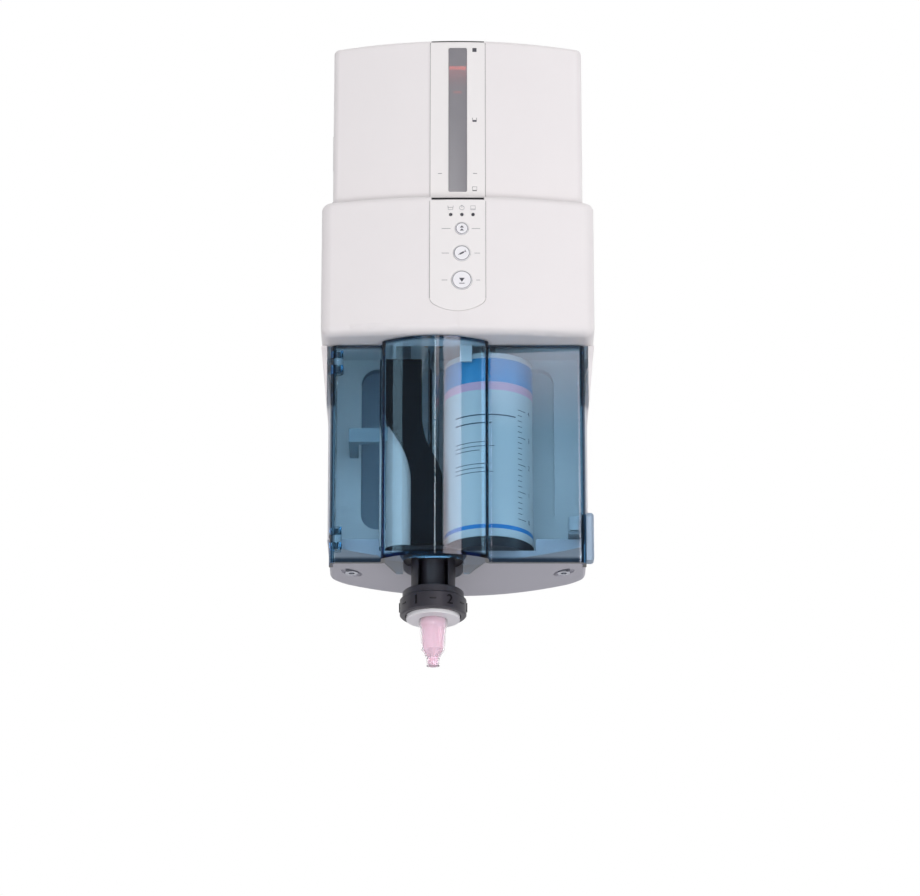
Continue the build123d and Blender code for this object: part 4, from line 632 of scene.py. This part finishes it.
# ---- Drive -----------------------------------------------------------------------------
# A folded aluminium frame carries the feed shaft, the mixer shaft and their motors. Steel
# racks, hard against their pinions, push the two plungers.
dress(worked_metal("rolled aluminium sheet", "#C3C5C9", 0.36, 0.6), "drive_frame")
dress(bright_steel, "guide_rods", "feed_shaft", "mixer_shaft")
dress(worked_metal("milled steel", "#9EA0A6", 0.34, 0.4), "rack_rods", "rack_pinions", "feed_pinion",
      "mixer_pinion", "crosshead")
dress(worked_metal("sintered bronze", "#A9824F", 0.42, 0.4), "shaft_bearings")
dress(worked_metal("drawn motor can steel", "#8D9097", 0.3, 0.5), "feed_motor", "mixer_motor")
dress(moulded("natural acetal gears", "#DAD6CC", 0.38), "feed_gear", "mixer_gear")
dress(moulded("white acetal plungers", "#D4D6DA", 0.4), "plungers")
dress(moulded("black seal rubber", "#242427", 0.62, grain_mm=0.8, depth_mm=0.02), "plunger_seals")

# ---- Power supply, inlet and rocker ----------------------------------------------------
# A boxed supply feeds both motors. The mains inlet and the rocker switch sit in the left side,
# behind pale flanges.
FLANGE_X = -87.9 * MM

dress(worked_metal("galvanised sheet", "#A8ABAF", 0.42, 2.5), "power_supply")
black_nylon = moulded("black nylon", "#232326", 0.4, grain_mm=0.5, depth_mm=0.01)
dress(black_nylon, "power_rocker")
inlet_nylon = moulded("black nylon with a white flange", "#232326", 0.4, grain_mm=0.5, depth_mm=0.01)
flange = add_node(inlet_nylon.node_tree, "ShaderNodeMath", {0: place_on(inlet_nylon)["X"], 1: FLANGE_X},
                  operation="LESS_THAN")
paint_over(inlet_nylon, flange, "#DAD8DB")
dress(inlet_nylon, "power_inlet", "switch_frame")

# ---- Floor -----------------------------------------------------------------------------
# A plain pale floor well below the mixer, which hangs at its height on a wall. It is clear
# from below, so that the underside can be looked at.
FLOOR_Z = -1.35
FLOOR_HALF = 6.0
FLOOR_GLOW = 0.32


def stand(name, mesh, finish):
    """Adds a piece of the stage, which isn't part of the mixer."""
    made = bpy.data.objects.new(name, mesh)
    mesh.materials.append(finish)
    bpy.context.scene.collection.objects.link(made)
    return made


floor_paint = bpy.data.materials.new("pale floor paint")
floor_paint.use_nodes = True
tree = floor_paint.node_tree
tree.nodes.clear()
rays = add_node(tree, "ShaderNodeLightPath").outputs
seen = add_node(tree, "ShaderNodeMath", {0: rays["Is Camera Ray"], 1: rays["Is Glossy Ray"]},
                operation="MAXIMUM")
seen = add_node(tree, "ShaderNodeMath", {0: seen, 1: rays["Is Transmission Ray"]}, operation="MAXIMUM")
paint = add_node(tree, "ShaderNodeBsdfDiffuse", {"Color": linear("#F4F4F5")})
glow = add_node(tree, "ShaderNodeEmission", {"Color": linear("#F4F4F5"), "Strength": FLOOR_GLOW})
lit = add_node(tree, "ShaderNodeAddShader", {0: paint, 1: glow})
dim = add_node(tree, "ShaderNodeBsdfDiffuse", {"Color": linear("#C4C4C8")})
both = add_node(tree, "ShaderNodeMixShader", {0: seen, 1: dim, 2: lit})
below = add_node(tree, "ShaderNodeNewGeometry").outputs["Backfacing"]
clear = add_node(tree, "ShaderNodeBsdfTransparent")
both = add_node(tree, "ShaderNodeMixShader", {0: below, 1: both, 2: clear})
add_node(tree, "ShaderNodeOutputMaterial", {"Surface": both})
sides = np.linspace(-FLOOR_HALF, FLOOR_HALF, 9)
corners, tiles = grid(sides, sides)
floor_mesh = bpy.data.meshes.new("floor")
floor_mesh.from_pydata([(x, y, FLOOR_Z) for x, y in corners], [], tiles)
stand("floor", floor_mesh, floor_paint)

# ---- Lights and world ------------------------------------------------------------------
# Large softboxes in front and low in front, one at each side, at the back and above, and an
# even pale room. A narrow strip lamp stands in the middle of the door's bow.
AIM = (0.0, -0.06, -0.03)


def softbox(name, place, size, radiance):
    """A rectangular lamp aimed at the mixer; its power is radiance times area times pi."""
    light = bpy.data.lights.new(name, "AREA")
    light.shape = "RECTANGLE"
    light.size, light.size_y = size
    light.energy = radiance * size[0] * size[1] * math.pi
    made = bpy.data.objects.new(name, light)
    bpy.context.scene.collection.objects.link(made)
    made.location = place
    away = np.array(place) - np.array(AIM)
    made.rotation_euler = (math.acos(away[2] / np.linalg.norm(away)), 0,
                           math.atan2(away[0], -away[1]))
    return made


softbox("front softbox", (0.2, -2.5, 1.7), (2.4, 1.5), 1.15)
softbox("low softbox", (0.0, -2.3, -1.25), (2.6, 0.6), 7.0)
softbox("left softbox", (-2.0, -1.7, 0.55), (0.6, 1.9), 3.4).visible_glossy = False
softbox("right softbox", (2.2, -0.9, 0.3), (0.6, 1.9), 5.9).visible_glossy = False
softbox("back softbox", (0.5, 2.4, 1.3), (2.0, 1.4), 1.7).visible_glossy = False
softbox("top softbox", (0.0, 0.5, 2.5), (1.6, 1.2), 1.5).visible_glossy = False
softbox("strip lamp", (-0.03, -2.4, 0.75), (0.05, 0.7), 6.5).visible_diffuse = False

# Two cards are seen only in reflections. The small one gives the door's upper right a pale
# sheen that fades downward, and the wide one stands in the right half of its bow.
CARD_Y = -2.4


def gloss_card(name, left, right, low, high, fade, strength):
    """Upright glowing card: nothing below the heights in fade, full above them."""
    made = bpy.data.materials.new(name)
    made.use_nodes = True
    tree = made.node_tree
    tree.nodes.clear()
    place = add_node(tree, "ShaderNodeTexCoord").outputs["Object"]
    height = add_node(tree, "ShaderNodeSeparateXYZ", {"Vector": place}).outputs["Z"]
    glow = add_node(tree, "ShaderNodeMapRange", {"Value": height, "From Min": fade[0], "From Max": fade[1],
                                                 "To Min": 0.0, "To Max": strength})
    shine = add_node(tree, "ShaderNodeEmission", {"Color": linear("#EFE6EE"), "Strength": glow})
    add_node(tree, "ShaderNodeOutputMaterial", {"Surface": shine})
    mesh = bpy.data.meshes.new(name)
    mesh.from_pydata([(x, CARD_Y, z) for x, z in ((left, low), (right, low), (right, high), (left, high))],
                     [], [(0, 1, 2, 3)])
    card = stand(name, mesh, made)
    card.visible_camera = card.visible_diffuse = card.visible_transmission = False


gloss_card("small_card", 0.03, 0.17, 0.72, 0.92, (0.74, 0.84), 5.0)
gloss_card("wide_card", 0.4, 1.5, 0.45, 1.0, (0.45, 0.6), 5.6)

# The room is white where it is looked at, straight or through the door, and behind the mixer
# where it is mirrored. Elsewhere it lights evenly, more for light that reaches the bay through
# the door, and less in mirrored rays, so that the door's own colour shows.
ROOM_LEVEL = 0.45
BAY_BOOST = 2.2
MIRROR_CUT = -0.33

world = bpy.data.worlds.new("pale room")
bpy.context.scene.world = world
world.use_nodes = True
tree = world.node_tree
tree.nodes.clear()
rays = add_node(tree, "ShaderNodeLightPath").outputs
through = rays["Is Transmission Ray"]
scattered = add_node(tree, "ShaderNodeMath", {0: rays["Diffuse Depth"], 1: 0.5}, operation="GREATER_THAN")
glanced = add_node(tree, "ShaderNodeMath", {0: rays["Glossy Depth"], 1: 0.5}, operation="GREATER_THAN")
clean = add_node(tree, "ShaderNodeMath", {0: 1.0, 1: scattered}, operation="SUBTRACT")
mirrored = add_node(tree, "ShaderNodeMath", {0: glanced, 1: clean}, operation="MULTIPLY")
turned = add_node(tree, "ShaderNodeMath", {0: scattered, 1: mirrored}, operation="MAXIMUM")
straight = add_node(tree, "ShaderNodeMath", {0: 1.0, 1: turned}, operation="SUBTRACT")
looked = add_node(tree, "ShaderNodeMath", {0: rays["Is Camera Ray"], 1: through}, operation="MAXIMUM")
seen = add_node(tree, "ShaderNodeMath", {0: looked, 1: straight}, operation="MULTIPLY")
heading = add_node(tree, "ShaderNodeTexCoord").outputs["Generated"]
ahead = add_node(tree, "ShaderNodeSeparateXYZ", {"Vector": heading}).outputs["Y"]
behind = add_node(tree, "ShaderNodeMath", {0: ahead, 1: 0.0}, operation="GREATER_THAN")
backdrop = add_node(tree, "ShaderNodeMath", {0: rays["Is Glossy Ray"], 1: behind}, operation="MULTIPLY")
seen = add_node(tree, "ShaderNodeMath", {0: seen, 1: backdrop}, operation="MAXIMUM")
inward = add_node(tree, "ShaderNodeMath", {0: through, 1: scattered}, operation="MULTIPLY")
level = add_node(tree, "ShaderNodeMath", {0: inward, 1: BAY_BOOST, 2: ROOM_LEVEL},
                 operation="MULTIPLY_ADD")
level = add_node(tree, "ShaderNodeMath", {0: mirrored, 1: MIRROR_CUT, 2: level},
                 operation="MULTIPLY_ADD")
room = add_node(tree, "ShaderNodeBackground", {"Color": linear("#F4F2F6"), "Strength": level})
white = add_node(tree, "ShaderNodeBackground", {"Color": (1, 1, 1, 1), "Strength": 1.0})
both = add_node(tree, "ShaderNodeMixShader", {0: seen, 1: room, 2: white})
add_node(tree, "ShaderNodeOutputWorld", {"Surface": both})

# ---- Camera ----------------------------------------------------------------------------
# A long lens from below, tilted up.
LENS_MM = 170.2
TILT_UP = 20

lens = bpy.data.cameras.new("camera")
lens.sensor_width = 36.0
lens.lens = LENS_MM
lens.clip_end = 50.0
camera = bpy.data.objects.new("camera", lens)
bpy.context.scene.collection.objects.link(camera)
camera.location = (0.0016, -2.917, -1.148)
camera.rotation_euler = (math.radians(90 + TILT_UP), 0, 0)
bpy.context.scene.camera = camera
bpy.context.scene.view_settings.view_transform = "Standard"
